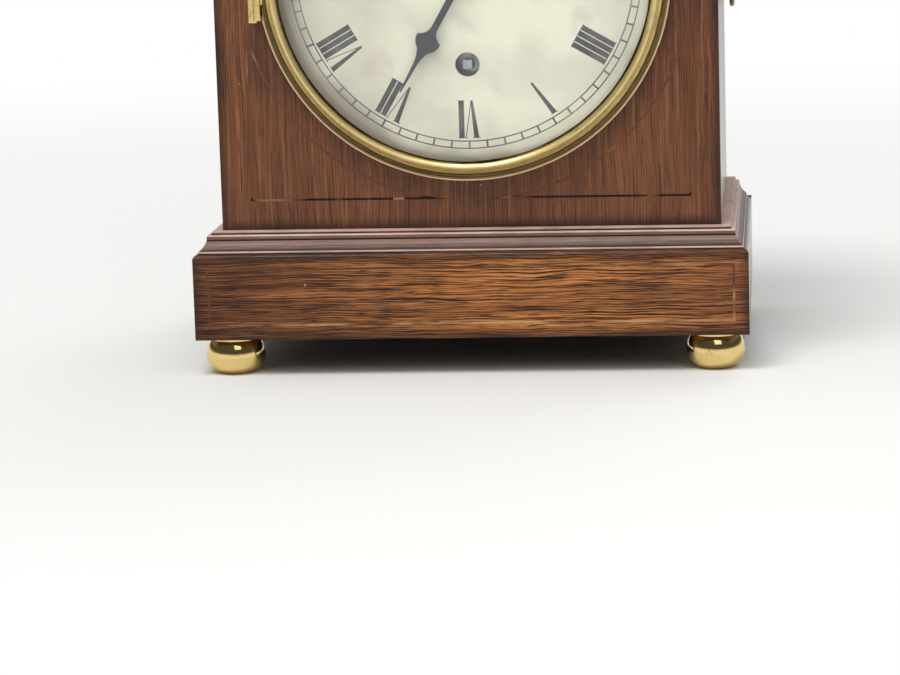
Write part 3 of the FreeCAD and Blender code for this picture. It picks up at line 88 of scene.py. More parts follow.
def brass(name, bright, dull, share, rough, scratch):
    """Polished brass: bright where it is rubbed and browner in cloudy patches that cover a share of it,
    with fine rubbing marks so many millimetres apart in its gloss."""
    material, tree, shader, place = finish(name, Metallic=1)
    cloud = node(tree, "ShaderNodeTexNoise", {"Vector": place, "Scale": 1000 / 9, "Detail": 5})
    speck = node(tree, "ShaderNodeTexNoise", {"Vector": place, "Scale": 1000 / 1.3, "Detail": 3})
    both = node(tree, "ShaderNodeMath", {0: speck.outputs[0], 1: 0.35, 2: cloud.outputs[0]},
                operation="MULTIPLY_ADD")
    clouded = node(tree, "ShaderNodeMapRange", {"Value": both.outputs[0], "From Min": 0.9 - share * 0.55,
                                                "From Max": 1.02 - share * 0.4})
    colour = node(tree, "ShaderNodeMix", {0: clouded.outputs[0], 6: linear(bright), 7: linear(dull)},
                  data_type="RGBA")
    marks = node(tree, "ShaderNodeTexNoise", {"Vector": place, "Scale": 1000 / scratch, "Detail": 2})
    gloss = node(tree, "ShaderNodeMath", {0: marks.outputs[0], 1: 0.12, 2: rough - 0.06},
                 operation="MULTIPLY_ADD")
    rough_all = node(tree, "ShaderNodeMath", {0: clouded.outputs[0], 1: 0.14, 2: gloss.outputs[0]},
                     operation="MULTIPLY_ADD")
    tree.links.new(colour.outputs[2], shader.inputs["Base Color"])
    tree.links.new(rough_all.outputs[0], shader.inputs["Roughness"])
    return material


polished_brass = brass("polished_turned_brass", "#EBD08C", "#B48C4C", 0.25, 0.09, 0.6)
dress(polished_brass, "bun_feet")

# ---------------------------------------------------------------------------------------------------
# Plinth block. Four mitred mahogany boards, French polished, round a pine floor. The grain runs along
# each board, ripples a little, and has faded to orange in the middle of the front.


def mahogany(name, grain, ground, streak, pore, tone, heart, near, far, box, figure=1.0, seed=0.0, **shine):
    """French-polished mahogany. Grain runs along X or Z on a board that faces front, along Z on a "side",
    or round the case on mitred boards. The ground colour turns to another tone within near metres of its
    heart, fading out at far. The edges of the board's box are handled darker. Figure is the strength of
    the streaks."""
    material, tree, shader, place = finish(name, IOR=1.5, **shine)
    parts = node(tree, "ShaderNodeSeparateXYZ", {0: place}).outputs
    order = {"X": (0, 2, 1), "Z": (2, 0, 1), "side": (2, 1, 0), "round": (0, 2, 1)}[grain]
    along = node(tree, "ShaderNodeCombineXYZ", {i: parts[j] for i, j in enumerate(order)}).outputs[0]
    if grain == "round":
        wide = node(tree, "ShaderNodeMath", {0: parts[0]}, operation="ABSOLUTE")
        deep = node(tree, "ShaderNodeMath", {0: parts[1]}, operation="ABSOLUTE")
        beyond = node(tree, "ShaderNodeMath", {0: wide.outputs[0], 1: deep.outputs[0]},
                      operation="SUBTRACT")
        beside = node(tree, "ShaderNodeMath", {0: beyond.outputs[0], 1: 0.031}, operation="GREATER_THAN")
        turned = node(tree, "ShaderNodeCombineXYZ", {0: parts[1], 1: parts[2], 2: parts[0]}).outputs[0]
        along = node(tree, "ShaderNodeMix", {0: beside.outputs[0], 4: along, 5: turned},
                     data_type="VECTOR").outputs[1]
    # the fibres wander by a millimetre or so every few centimetres
    drift = node(tree, "ShaderNodeTexNoise", {"Vector": along, "Scale": 1000 / 30, "Detail": 2})
    push = node(tree, "ShaderNodeVectorMath", {0: drift.outputs["Color"], 1: (0.5, 0.5, 0.5)},
                operation="SUBTRACT")
    bent = node(tree, "ShaderNodeVectorMath", {0: push.outputs[0], 1: (0.0, 0.0032, 0.0), 2: along},
                operation="MULTIPLY_ADD").outputs[0]
    middle = node(tree, "ShaderNodeVectorMath", {0: place, 1: heart}, operation="DISTANCE").outputs["Value"]
    cloud = node(tree, "ShaderNodeTexNoise", {"Vector": place, "Scale": 1000 / 45, "Detail": 3,
                                              "Roughness": 0.6})
    spread = node(tree, "ShaderNodeMath", {0: cloud.outputs[0], 1: -0.06, 2: middle},
                  operation="MULTIPLY_ADD")
    reach = node(tree, "ShaderNodeMapRange", {"Value": spread.outputs[0], "From Min": near - 0.03,
                                              "From Max": far - 0.03, "To Min": 1.0, "To Max": 0.0})
    wood = node(tree, "ShaderNodeMix", {0: reach.outputs[0], 6: linear(ground), 7: linear(tone)},
                data_type="RGBA").outputs[2]
    # each layer: length and width of its marks in millimetres, where it starts and is full, and colour
    for length, width, low, high, top, colour in (
            (150, 7, 0.42, 0.62, 0.4, streak), (60, 2.2, 0.52, 0.7, 0.5 * figure, "#C08455"),
            (32, 0.42, 0.5, 0.6, 0.8 * figure, streak), (40, 0.34, 0.55, 0.61, 0.95 * figure, pore),
            (9, 0.3, 0.53, 0.64, 0.75 * figure, pore)):
        stretched = node(tree, "ShaderNodeMapping", {
            "Vector": bent, "Location": (seed, seed + width, seed),
            "Scale": (1000 / length, 1000 / width, 1000 / width)})
        marks = node(tree, "ShaderNodeTexNoise", {"Vector": stretched.outputs[0], "Scale": 1.0, "Detail": 2,
                                                  "Roughness": 0.55})
        share = node(tree, "ShaderNodeMapRange", {"Value": marks.outputs[0], "From Min": low,
                                                  "From Max": high, "To Max": top})
        wood = node(tree, "ShaderNodeMix", {0: share.outputs[0], 6: wood, 7: linear(colour)},
                    data_type="RGBA").outputs[2]
    # how near a point of the box's face is to the next edge: the second of its three distances
    lowest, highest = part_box(box)
    shift = node(tree, "ShaderNodeVectorMath", {0: place, 1: (lowest + highest) / 2}, operation="SUBTRACT")
    size = node(tree, "ShaderNodeVectorMath", {0: shift.outputs[0]}, operation="ABSOLUTE")
    inside = node(tree, "ShaderNodeVectorMath", {0: size.outputs[0], 1: (highest - lowest) / 2},
                  operation="SUBTRACT")
    gap = node(tree, "ShaderNodeSeparateXYZ", {0: inside.outputs[0]}).outputs
    less = node(tree, "ShaderNodeMath", {0: gap[0], 1: gap[1]}, operation="MINIMUM")
    more = node(tree, "ShaderNodeMath", {0: gap[0], 1: gap[1]}, operation="MAXIMUM")
    other = node(tree, "ShaderNodeMath", {0: more.outputs[0], 1: gap[2]}, operation="MINIMUM")
    second = node(tree, "ShaderNodeMath", {0: less.outputs[0], 1: other.outputs[0]}, operation="MAXIMUM")
    handled = node(tree, "ShaderNodeMapRange", {"Value": second.outputs[0], "From Min": -0.0042,
                                                "From Max": -0.0008, "To Max": 1.35})
    patchy = node(tree, "ShaderNodeMath", {0: handled.outputs[0], 1: cloud.outputs[0]},
                  operation="MULTIPLY")
    wood = node(tree, "ShaderNodeMix", {0: patchy.outputs[0], 6: wood, 7: linear("#2A1A14")},
                data_type="RGBA").outputs[2]
    # knocks that show pale wood, half a millimetre across and some centimetres apart
    spots = node(tree, "ShaderNodeTexVoronoi", {"Vector": place, "Scale": 1000 / 28})
    knock = node(tree, "ShaderNodeMapRange", {"Value": spots.outputs["Distance"], "From Min": 0.018,
                                              "From Max": 0.01, "To Max": 0.8})
    wood = node(tree, "ShaderNodeMix", {0: knock.outputs[0], 6: wood, 7: linear("#C9A184")},
                data_type="RGBA").outputs[2]
    rough = node(tree, "ShaderNodeMapRange", {"Value": marks.outputs[0], "To Min": 0.24, "To Max": 0.5})
    grooved = node(tree, "ShaderNodeBump", {"Strength": 0.35, "Distance": 0.00012,
                                            "Height": share.outputs[0]}, invert=True)
    tree.links.new(wood, shader.inputs["Base Color"])
    tree.links.new(rough.outputs[0], shader.inputs["Roughness"])
    tree.links.new(grooved.outputs[0], shader.inputs["Normal"])
    return material


# An old polish, gone soft, hardly mirrors the room. The sides kept a harder one, which turns pale where it
# is seen at a grazing angle.
SATIN = {"Specular_IOR_Level": 0.22, "Coat_Weight": 0.08, "Coat_Roughness": 0.15}
GLOSSY = {"Specular_IOR_Level": 0.5, "Coat_Weight": 0.6, "Coat_Roughness": 0.12}
dress(mahogany("faded_mahogany_plinth_front", "X", "#8E5631", "#4A2614", "#1E0D06", "#DA8C4A",
               (0.02, -0.069, 0.034), 0.02, 0.1, "plinth_front", figure=1.2, seed=2.0, **SATIN),
      "plinth_front")
dress(mahogany("mahogany_plinth_sides", "round", "#80502F", "#4C2A1A", "#28130B", "#96603A",
               (0.0, 0.0, 0.03), 0.01, 0.02, "plinth_sides_back", seed=5.0, **GLOSSY), "plinth_sides_back")

# Pine with darker summer growth: planed and left bare on the seat, where it doesn't show, and painted
# nearly black on the plinth's floor, which can be seen from below, as painted shade under the plinth.
for label, boards, early, late, rough, shine in (
        ("bare_planed_pine", ("seat_board", "seat_bearers"), "#C9A36C", "#8E6337", 0.7, 0.5),
        ("shade_darkened_pine", ("plinth_floor",), "#3A2E26", "#1E1713", 0.8, 0.1)):
    pine, tree, shader, place = finish(label, Roughness=rough, IOR=1.5, Specular_IOR_Level=shine)
    long = node(tree, "ShaderNodeMapping", {"Vector": place, "Scale": (12, 260, 420)})
    rings = node(tree, "ShaderNodeTexNoise", {"Vector": long.outputs[0], "Scale": 1, "Detail": 4})
    colour = node(tree, "ShaderNodeMix", {0: rings.outputs[0], 6: linear(early), 7: linear(late)},
                  data_type="RGBA")
    tree.links.new(colour.outputs[2], shader.inputs["Base Color"])
    dress(pine, *boards)

# ---------------------------------------------------------------------------------------------------
# Plinth moulding. A mahogany board with a cove and two ledges worked along its front and side edges.
# Pale bands on its edges are painted highlight, and near-black bands in its hollows and steps painted shade.
WAXED = {"Specular_IOR_Level": 0.22, "Coat_Weight": 0.12, "Coat_Roughness": 0.14}


def paint(bands, stops):
    """Fills a colour ramp with a place, a colour and a cover for each stop."""
    ramp = bands.color_ramp.elements
    while len(ramp) < len(stops):
        ramp.new(0.5)
    for stop, (at, code, cover) in zip(ramp, stops):
        stop.position = at
        stop.color = linear(code)[:3] + [cover]


def wear_and_painted_light(material, low, tall, stops):
    """Painted highlight as pale bands and painted shade as black bands on a moulded board, by height in
    millimetres above its foot.
    """
    tree = material.node_tree
    shader = tree.nodes["Principled BSDF"]
    place = tree.nodes["Texture Coordinate"].outputs["Object"]
    wood = shader.inputs["Base Color"].links[0].from_socket
    height = node(tree, "ShaderNodeSeparateXYZ", {0: place}).outputs[2]
    share = node(tree, "ShaderNodeMapRange", {"Value": height, "From Min": low / 1000,
                                              "From Max": (low + tall) / 1000})
    bands = node(tree, "ShaderNodeValToRGB", {0: share.outputs[0]})
    paint(bands, [(at / tall, code, cover) for at, code, cover in stops])
    patchy_bands = patches(tree, place, 12, 4, 0.3, 0.55, least=0.7)
    cover = node(tree, "ShaderNodeMath", {0: bands.outputs["Alpha"], 1: patchy_bands}, operation="MULTIPLY")
    colour = node(tree, "ShaderNodeMix", {0: cover.outputs[0], 6: wood, 7: bands.outputs[0]},
                  data_type="RGBA")
    tree.links.new(colour.outputs[2], shader.inputs["Base Color"])
    return material


# pale is painted highlight on the moulded edges, near black is painted shade in the hollows and steps
PAINTED_GLINT, PAINTED_SHADE = "#F4D2C0", "#0E0805"
dress(wear_and_painted_light(mahogany("waxed_mahogany_moulding", "round", "#73432F", "#45261D", "#26130E", "#7E4C36",
                    (0.0, -0.06, 0.05), 0.02, 0.1, "plinth_moulding", figure=0.6, seed=9.0, **WAXED),
           44.6, 7.6, ((0.0, PAINTED_SHADE, 0.9), (0.3, PAINTED_SHADE, 0.8), (0.5, PAINTED_GLINT, 0.95), (0.9, PAINTED_GLINT, 0.85),
                       (1.1, PAINTED_SHADE, 0.1), (2.6, PAINTED_GLINT, 0.0), (3.2, PAINTED_GLINT, 0.3), (4.2, PAINTED_GLINT, 0.25),
                       (4.45, PAINTED_SHADE, 0.95), (5.0, PAINTED_SHADE, 0.85), (5.3, PAINTED_GLINT, 0.1), (5.9, PAINTED_GLINT, 0.2),
                       (6.2, PAINTED_GLINT, 0.95), (6.45, PAINTED_GLINT, 0.95), (6.55, PAINTED_SHADE, 0.98), (6.95, PAINTED_SHADE, 0.9),
                       (7.2, PAINTED_GLINT, 0.3), (7.55, PAINTED_GLINT, 0.8))), "plinth_moulding")

# ---------------------------------------------------------------------------------------------------
# Inlaid lines. Boxwood stringing glued in a shallow groove. On the plinth it is still pale in places;
# round the front panel most of it has dropped out or gone as dark as the wood.
INLAID = {"Roughness": 0.5, "IOR": 1.5, "Specular_IOR_Level": 0.2}
PLINTH_FOOT_LINE, FRONT_FOOT_LINE = (0.0197, 0.0192), 0.0638
line, tree, shader, place = finish("old_boxwood_line", **INLAID)
at = node(tree, "ShaderNodeSeparateXYZ", {0: place}).outputs
low = node(tree, "ShaderNodeMapRange", {"Value": at[2], "From Min": PLINTH_FOOT_LINE[0],
                                        "From Max": PLINTH_FOOT_LINE[1]})
right = node(tree, "ShaderNodeMapRange", {"Value": at[0], "From Min": 0.01, "From Max": 0.05,
                                          "To Max": 0.9})
kept = node(tree, "ShaderNodeMath", {0: low.outputs[0], 1: right.outputs[0]}, operation="MAXIMUM")
share = node(tree, "ShaderNodeMath", {0: kept.outputs[0], 1: patches(tree, place, 24, 4, 0.42, 0.58)},
             operation="MULTIPLY")
colour = node(tree, "ShaderNodeMix", {0: share.outputs[0], 6: linear("#66402A"), 7: linear("#C39E6A")},
              data_type="RGBA")
tree.links.new(colour.outputs[2], shader.inputs["Base Color"])
dress(line, "plinth_stringing")

# Round the front it is as brown as the wood, and along the foot it is gone but for a pale splinter.
# The empty groove there is painted near black as painted shade.
line, tree, shader, place = finish("lost_boxwood_line", **INLAID)
kept = node(tree, "ShaderNodeMix", {0: patches(tree, place, 18, 4, 0.58, 0.68), 6: linear("#74482F"),
                                    7: linear("#9A6E4E")}, data_type="RGBA")
at = node(tree, "ShaderNodeSeparateXYZ", {0: place}).outputs
low = node(tree, "ShaderNodeMath", {0: at[2], 1: FRONT_FOOT_LINE}, operation="LESS_THAN")
share = node(tree, "ShaderNodeMath", {0: low.outputs[0], 1: patches(tree, place, 18, 4, 0.62, 0.52)},
             operation="MULTIPLY")
empty_groove_shade = node(tree, "ShaderNodeMix", {0: share.outputs[0], 6: kept.outputs[2], 7: linear("#1E0E0A")},
              data_type="RGBA")
away = node(tree, "ShaderNodeVectorMath", {0: place, 1: (-0.026, -0.059, 0.063)}, operation="DISTANCE")
splinter = node(tree, "ShaderNodeMath", {0: away.outputs["Value"], 1: 0.002}, operation="LESS_THAN")
colour = node(tree, "ShaderNodeMix", {0: splinter.outputs[0], 6: empty_groove_shade.outputs[2], 7: linear("#A5856A")},
              data_type="RGBA")
tree.links.new(colour.outputs[2], shader.inputs["Base Color"])
dress(line, "front_stringing")

# ---------------------------------------------------------------------------------------------------
# Case. A front panel with upright grain, two sides, a top and a rail, all mahogany on the show faces.
# The front is a darker purple brown in a ring round the bezel.
DIAL_MIDDLE = 0.1436
dress(mahogany("mahogany_front_panel", "Z", "#875436", "#54301F", "#301A13", "#744A36",
               (0.0, -0.0592, DIAL_MIDDLE), 0.074, 0.085, "front_panel", figure=0.65, **SATIN),
      "front_panel")
dress(mahogany("mahogany_side_panels", "side", "#825034", "#54301F", "#301A13", "#925A3A",
               (0.0902, 0.0, 0.14), 0.02, 0.09, "side_panels", figure=0.5, seed=3.0, **GLOSSY),
      "side_panels")
dress(mahogany("mahogany_top_and_rail", "X", "#7E4E34", "#54301F", "#301A13", "#8E583A",
               (0.0, 0.06, 0.06), 0.02, 0.09, "back_rail", figure=0.5, seed=4.0, **SATIN),
      "case_top", "back_rail")

# ---------------------------------------------------------------------------------------------------
# Cornice, roof and turned pad. Coved and hollowed mahogany with the grain running along each side.
# its foot is painted near black as painted shade and its top edge pale as painted highlight
dress(wear_and_painted_light(mahogany("mahogany_cornice", "round", "#7A4C38", "#4E2C20", "#2C1811", "#88563C",
                    (0.0, -0.06, 0.24), 0.02, 0.1, "cornice", figure=0.6, seed=6.0, **WAXED),
           235, 12, ((0.0, PAINTED_SHADE, 0.8), (0.5, PAINTED_SHADE, 0.1), (1.0, PAINTED_GLINT, 0.2), (2.0, PAINTED_GLINT, 0.0),
                     (9.0, PAINTED_GLINT, 0.0), (11.0, PAINTED_GLINT, 0.1), (11.8, PAINTED_GLINT, 0.5))), "cornice")
dress(mahogany("mahogany_roof", "round", "#825034", "#54301F", "#301A13", "#945C3A",
               (0.0, 0.0, 0.273), 0.02, 0.09, "roof", figure=0.6, seed=7.0, **SATIN), "roof")
dress(mahogany("turned_mahogany_pad", "X", "#7A4C38", "#4E2C20", "#2C1811", "#825238",
               (0.0, 0.0, 0.28), 0.005, 0.02, "roof_pad", figure=0.6, seed=8.0, **WAXED), "roof_pad")
dress(polished_brass, "finial")

# ---------------------------------------------------------------------------------------------------
# Side handles. Cast and turned brass plates with an eye, each with a plain wire ring. They are a deep brown.
brown_brass = brass("deep_brown_cast_brass", "#8A6A3C", "#3E2C1E", 0.75, 0.36, 0.9)
dress(brown_brass, "handle_plates", "ring_handle_left", "ring_handle_right")


def tree_with(name, **inputs):
    """A Geometry Nodes tree with named inputs, its input node and its output node."""
    tree = bpy.data.node_groups.new(name, "GeometryNodeTree")
    tree.interface.new_socket(name="Geometry", in_out="INPUT", socket_type="NodeSocketGeometry")
    tree.interface.new_socket(name="Geometry", in_out="OUTPUT", socket_type="NodeSocketGeometry")
    for label, kind in inputs.items():
        tree.interface.new_socket(name=label, in_out="INPUT", socket_type="NodeSocket" + kind)
    return tree, tree.nodes.new("NodeGroupInput"), tree.nodes.new("NodeGroupOutput")


def grow(name, tree, start=None, **values):
    """Runs a tree once on a piece, and leaves its result as a plain mesh."""
    piece = bpy.data.objects.new(name, start or bpy.data.meshes.new(name))
    bpy.context.scene.collection.objects.link(piece)
    modifier = piece.modifiers.new(name, "NODES")
    modifier.node_group = tree
    for item in tree.interface.items_tree:
        if item.in_out == "INPUT" and item.name in values:
            modifier[item.identifier] = values[item.name]
    bpy.context.view_layer.update()
    grown = bpy.data.meshes.new_from_object(piece.evaluated_get(bpy.context.evaluated_depsgraph_get()))
    piece.modifiers.clear()
    piece.data = grown
    return piece


# Screws: flat heads with a slot, turned and left at any angle, two to a plate and three to a butt.
screws, given, result = tree_with("slotted_screws", Radius="Float", Proud="Float", Slot="Float",
                                  Steel="Material")
head = node(screws, "GeometryNodeMeshCylinder", {"Vertices": 20, "Radius": given.outputs["Radius"],
                                                 "Depth": given.outputs["Proud"]}, fill_type="NGON")
twice = node(screws, "ShaderNodeMath", {0: given.outputs["Radius"], 1: 3.0}, operation="MULTIPLY")
saw = node(screws, "ShaderNodeCombineXYZ", {0: twice.outputs[0], 1: given.outputs["Slot"],
                                            2: given.outputs["Proud"]})
blade = node(screws, "GeometryNodeMeshCube", {"Size": saw.outputs[0]})
half = node(screws, "ShaderNodeMath", {0: given.outputs["Proud"], 1: 0.4}, operation="MULTIPLY")
lift = node(screws, "ShaderNodeCombineXYZ", {2: half.outputs[0]})
raised = node(screws, "GeometryNodeTransform", {"Geometry": blade.outputs[0],
                                                "Translation": lift.outputs[0]})
slotted = node(screws, "GeometryNodeMeshBoolean", {"Mesh 1": head.outputs[0], "Mesh 2": raised.outputs[0]},
               operation="DIFFERENCE")
any_turn = node(screws, "FunctionNodeRandomValue", {0: (0, 0, 0), 1: (0, 0, math.pi), "Seed": 4},
                data_type="FLOAT_VECTOR")
placed = node(screws, "GeometryNodeInstanceOnPoints", {
    "Points": given.outputs["Geometry"], "Instance": slotted.outputs[0], "Rotation": any_turn.outputs[0]})
whole = node(screws, "GeometryNodeRealizeInstances", {0: placed.outputs[0]})
coated = node(screws, "GeometryNodeSetMaterial", {"Geometry": whole.outputs[0],
                                                  "Material": given.outputs["Steel"]})
screws.links.new(coated.outputs[0], result.inputs[0])


def screw_heads(name, body, material, radius, places, axis):
    """Heads at places in millimetres, standing 0.25 mm proud of a face that looks along an axis."""
    turn = Vector(axis).to_track_quat("Z", "Y").to_matrix().to_4x4()
    spots = bpy.data.meshes.new(name)
    spots.from_pydata([turn.inverted() @ (Vector(spot) / 1000) for spot in places], [], [])
    piece = grow(name, screws, spots, Radius=radius / 1000, Proud=0.0005, Slot=0.0004, Steel=material)
    piece.data.transform(turn)
    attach(piece, body)


PLATE_FACE, HANDLE_Y, HANDLE_Z = 91.8, 3.15, 143.6
for side, label in ((-1, "left"), (1, "right")):
    screw_heads("handle_screws_" + label, "case", brown_brass, 1.5,
                [(side * PLATE_FACE, HANDLE_Y + step, HANDLE_Z) for step in (-12, 12)], (side, 0, 0))

# ---------------------------------------------------------------------------------------------------
# Back door. A mahogany board with a sunk panel, hung on two brass butts and held by a turn button.
dress(mahogany("mahogany_back_door", "Z", "#7E4E34", "#54301F", "#301A13", "#8A5638",
               (0.0, 0.065, 0.15), 0.01, 0.07, "back_door", figure=0.5, seed=11.0, **SATIN), "back_door")
plain_brass = brass("lacquered_sheet_brass", "#D8B871", "#9A7842", 0.5, 0.3, 0.8)
dress(plain_brass, "door_hinge_case_leaves", "door_hinge_door_leaves", "door_hinge_pins", "door_button")
LEAF_FACE, BUTTS = 66.52, (102.6, 197.6)
for body, across in (("case", 86.2), ("rear_door", 75.8)):
    screw_heads("butt_screws_" + body, body, plain_brass, 1.4,
                [(across, LEAF_FACE, butt + step) for butt in BUTTS for step in (-8, 0, 8)], (0, 1, 0))

# ---------------------------------------------------------------------------------------------------
# Glazed bezel. Spun brass, coloured in rings: a thin rim painted pale as painted highlight, a dark cove that
# is partly tarnish where polish never reached and partly painted reflection, a broad bright bead over the
# glass, and a black edge at the glass that is painted shade. It hangs on a three-knuckle hinge at nine
# o'clock.
bezel_brass, tree, shader, place = finish("lacquered_spun_brass", Metallic=0.65)
axis = node(tree, "ShaderNodeVectorMath", {0: place, 1: (0, 0, -DIAL_MIDDLE)}, operation="ADD")
flat = node(tree, "ShaderNodeVectorMath", {0: axis.outputs[0], 1: (1000, 0, 1000)}, operation="MULTIPLY")
radius = node(tree, "ShaderNodeVectorMath", {0: flat.outputs[0]}, operation="LENGTH").outputs["Value"]
band_wobble = node(tree, "ShaderNodeTexNoise", {"Vector": place, "Scale": 1000 / 6, "Detail": 5})
wander = node(tree, "ShaderNodeMath", {0: band_wobble.outputs[0], 1: 0.5, 2: radius}, operation="MULTIPLY_ADD")
# colours from the glass, 67 mm from the middle, to the outside at 75 mm: painted shade at the glass, the
# bead, the cove dark with tarnish and painted reflection, and the rim pale with painted highlight
outward = node(tree, "ShaderNodeMapRange", {"Value": wander.outputs[0], "From Min": 67, "From Max": 75})
bands = node(tree, "ShaderNodeValToRGB", {0: outward.outputs[0]})
paint(bands, ((0.0, "#2A1E0C", 1), (0.05, "#2A1E0C", 1), (0.09, "#C8AC66", 1), (0.16, "#EBD592", 1),
              (0.46, "#E8CF8A", 1), (0.54, "#C9A85C", 1), (0.58, "#2E220C", 1), (0.62, "#43341A", 1),
              (0.68, "#6E5A38", 1), (0.77, "#8C7852", 1), (0.81, "#6A5230", 1), (0.84, "#ECD0A2", 1),
              (1.0, "#E2C492", 1)))
colour = node(tree, "ShaderNodeMix", {0: patches(tree, place, 6, 5, 0.45, 0.75, most=0.35),
                                      6: bands.outputs[0], 7: linear("#9C7A44")}, data_type="RGBA")
tree.links.new(colour.outputs[2], shader.inputs["Base Color"])
tree.links.new(patches(tree, place, 6, 5, 0.3, 0.7, 0.26, 0.42), shader.inputs["Roughness"])
dress(bezel_brass, "bezel")
dress(plain_brass, "bezel_seat", "bezel_glass_ring", "bezel_hinge_pin")
dress(polished_brass, "bezel_hinge_case_leaf", "bezel_hinge_door_leaf")


def stand(piece, x, y, z):
    """Turns a piece that was made flat about its middle to face the front at a place."""
    piece.data.transform(Matrix.Translation((x, y, z)) @ Matrix.Rotation(math.pi / 2, 4, "X"))


# A thin near-black ring in the corner between the bead and the glass, thick here and thin there: painted
# shade of the rebate where the glass sits.
rebate_shade_material, tree, shader, place = finish("painted_rebate_shade", Roughness=0.85, IOR=1.5, Specular_IOR_Level=0.15)
spots = node(tree, "ShaderNodeTexNoise", {"Vector": place, "Scale": 1000 / 4, "Detail": 4})
colour = node(tree, "ShaderNodeMix", {0: spots.outputs[0], 6: linear("#0E0A06"), 7: linear("#3A2E1C")},
              data_type="RGBA")
tree.links.new(colour.outputs[2], shader.inputs["Base Color"])
rebate_shade_tree, given, result = tree_with("rebate_shade_ring", Radius="Float", Thin="Float", Thick="Float",
                                 Dirt="Material")
corner = node(rebate_shade_tree, "GeometryNodeCurvePrimitiveCircle", {"Resolution": 360,
                                                          "Radius": given.outputs["Radius"]})
thickness_noise = node(rebate_shade_tree, "ShaderNodeTexNoise", {"Scale": 60.0, "Detail": 3})
fullness = node(rebate_shade_tree, "ShaderNodeMapRange", {
    "Value": thickness_noise.outputs[0], "From Min": 0.35, "From Max": 0.65, "To Min": given.outputs["Thin"],
    "To Max": given.outputs["Thick"]})
bead = node(rebate_shade_tree, "GeometryNodeCurvePrimitiveCircle", {"Resolution": 8, "Radius": 1.0})
swept = node(rebate_shade_tree, "GeometryNodeCurveToMesh", {
    "Curve": corner.outputs[0], "Profile Curve": bead.outputs[0], "Scale": fullness.outputs[0]})
ring_mesh = node(rebate_shade_tree, "GeometryNodeRealizeInstances", {0: swept.outputs[0]})
shade_coloured = node(rebate_shade_tree, "GeometryNodeSetMaterial", {"Geometry": ring_mesh.outputs[0],
                                                 "Material": given.outputs["Dirt"]})
rebate_shade_tree.links.new(shade_coloured.outputs[0], result.inputs[0])
rebate_shade_ring = grow("rebate_shade_ring", rebate_shade_tree, Radius=0.0669, Thin=0.00016, Thick=0.00038, Dirt=rebate_shade_material)
stand(rebate_shade_ring, 0, -0.0656, DIAL_MIDDLE)
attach(rebate_shade_ring, "bezel_door")

# Clear glass, slightly domed, with a faint smear. It lets lamps through to the dial.
glass, tree, shader, place = finish(
    "domed_clock_glass", Base_Color=linear("#FCFDFB"), Roughness=0.02, IOR=1.5, Transmission_Weight=1)
tree.links.new(patches(tree, place, 40, 3, 0.45, 0.8, 0.01, 0.06), shader.inputs["Roughness"])
clear = node(tree, "ShaderNodeBsdfTransparent", {0: linear("#F8F8F5")})
lamp_ray = node(tree, "ShaderNodeLightPath").outputs["Is Shadow Ray"]
through = node(tree, "ShaderNodeMixShader", {0: lamp_ray, 1: shader.outputs[0], 2: clear.outputs[0]})
tree.links.new(through.outputs[0], tree.nodes["Material Output"].inputs["Surface"])
dress(glass, "bezel_glass")

# ---------------------------------------------------------------------------------------------------
# Dial. A brass disc, grained and silvered, then lacquered. The lacquer has yellowed unevenly. The silver
# goes grey towards the edge, partly tarnish and partly painted shade from the bezel.
DIAL_FACE = -0.0565
silvering, tree, shader, place = finish("lacquered_silvered_brass", Metallic=0.1, Roughness=0.5)
silver = node(tree, "ShaderNodeMix", {0: patches(tree, place, 26, 5, 0.42, 0.66), 6: linear("#F5F2E0"),
                                      7: linear("#DFDCCB")}, data_type="RGBA")
# a grey edge creeps in from the bezel, further on the side of the hinge: partly tarnish, partly painted
# shade
aside = node(tree, "ShaderNodeVectorMath", {0: place, 1: (-0.004, -DIAL_FACE, -DIAL_MIDDLE)},
             operation="ADD")
far = node(tree, "ShaderNodeVectorMath", {0: aside.outputs[0]}, operation="LENGTH").outputs["Value"]
tarnish = node(tree, "ShaderNodeTexNoise", {"Vector": place, "Scale": 1000 / 26, "Detail": 5})
ragged = node(tree, "ShaderNodeMath", {0: tarnish.outputs[0], 1: 0.012, 2: far}, operation="MULTIPLY_ADD")
tarnish_and_shade = node(tree, "ShaderNodeMapRange", {"Value": ragged.outputs[0], "From Min": 0.0695,
                                          "From Max": 0.0735, "To Max": 0.85})
edge = node(tree, "ShaderNodeMix", {0: tarnish_and_shade.outputs[0], 6: silver.outputs[2], 7: linear("#978A82")},
            data_type="RGBA")
# and it is painted browner and darker from lower right to upper left, as painted reflection
glow = node(tree, "ShaderNodeVectorMath", {0: place, 1: (0.02, DIAL_FACE, 0.125)}, operation="DISTANCE")
painted_reflection = node(tree, "ShaderNodeMapRange", {"Value": glow.outputs["Value"], "From Min": 0.03,
                                           "From Max": 0.1, "To Max": 0.62})
brown = node(tree, "ShaderNodeMix", {0: painted_reflection.outputs[0], 6: edge.outputs[2], 7: linear("#B3AF9D")},
             data_type="RGBA")
# rosy stains a few millimetres across, where damp got under the lacquer
colour = node(tree, "ShaderNodeMix", {0: patches(tree, place, 15, 3, 0.6, 0.74, most=0.4),
                                      6: brown.outputs[2], 7: linear("#CBB9B0")}, data_type="RGBA")
brushed = node(tree, "ShaderNodeMapping", {"Vector": place, "Scale": (3300, 1, 90)})
grained = node(tree, "ShaderNodeTexNoise", {"Vector": brushed.outputs[0], "Scale": 1, "Detail": 2})
gloss = node(tree, "ShaderNodeMapRange", {"Value": grained.outputs[0], "To Min": 0.42, "To Max": 0.6})
tree.links.new(colour.outputs[2], shader.inputs["Base Color"])
tree.links.new(gloss.outputs[0], shader.inputs["Roughness"])
dress(silvering, "dial")
dress(plain_brass, "dial_feet")

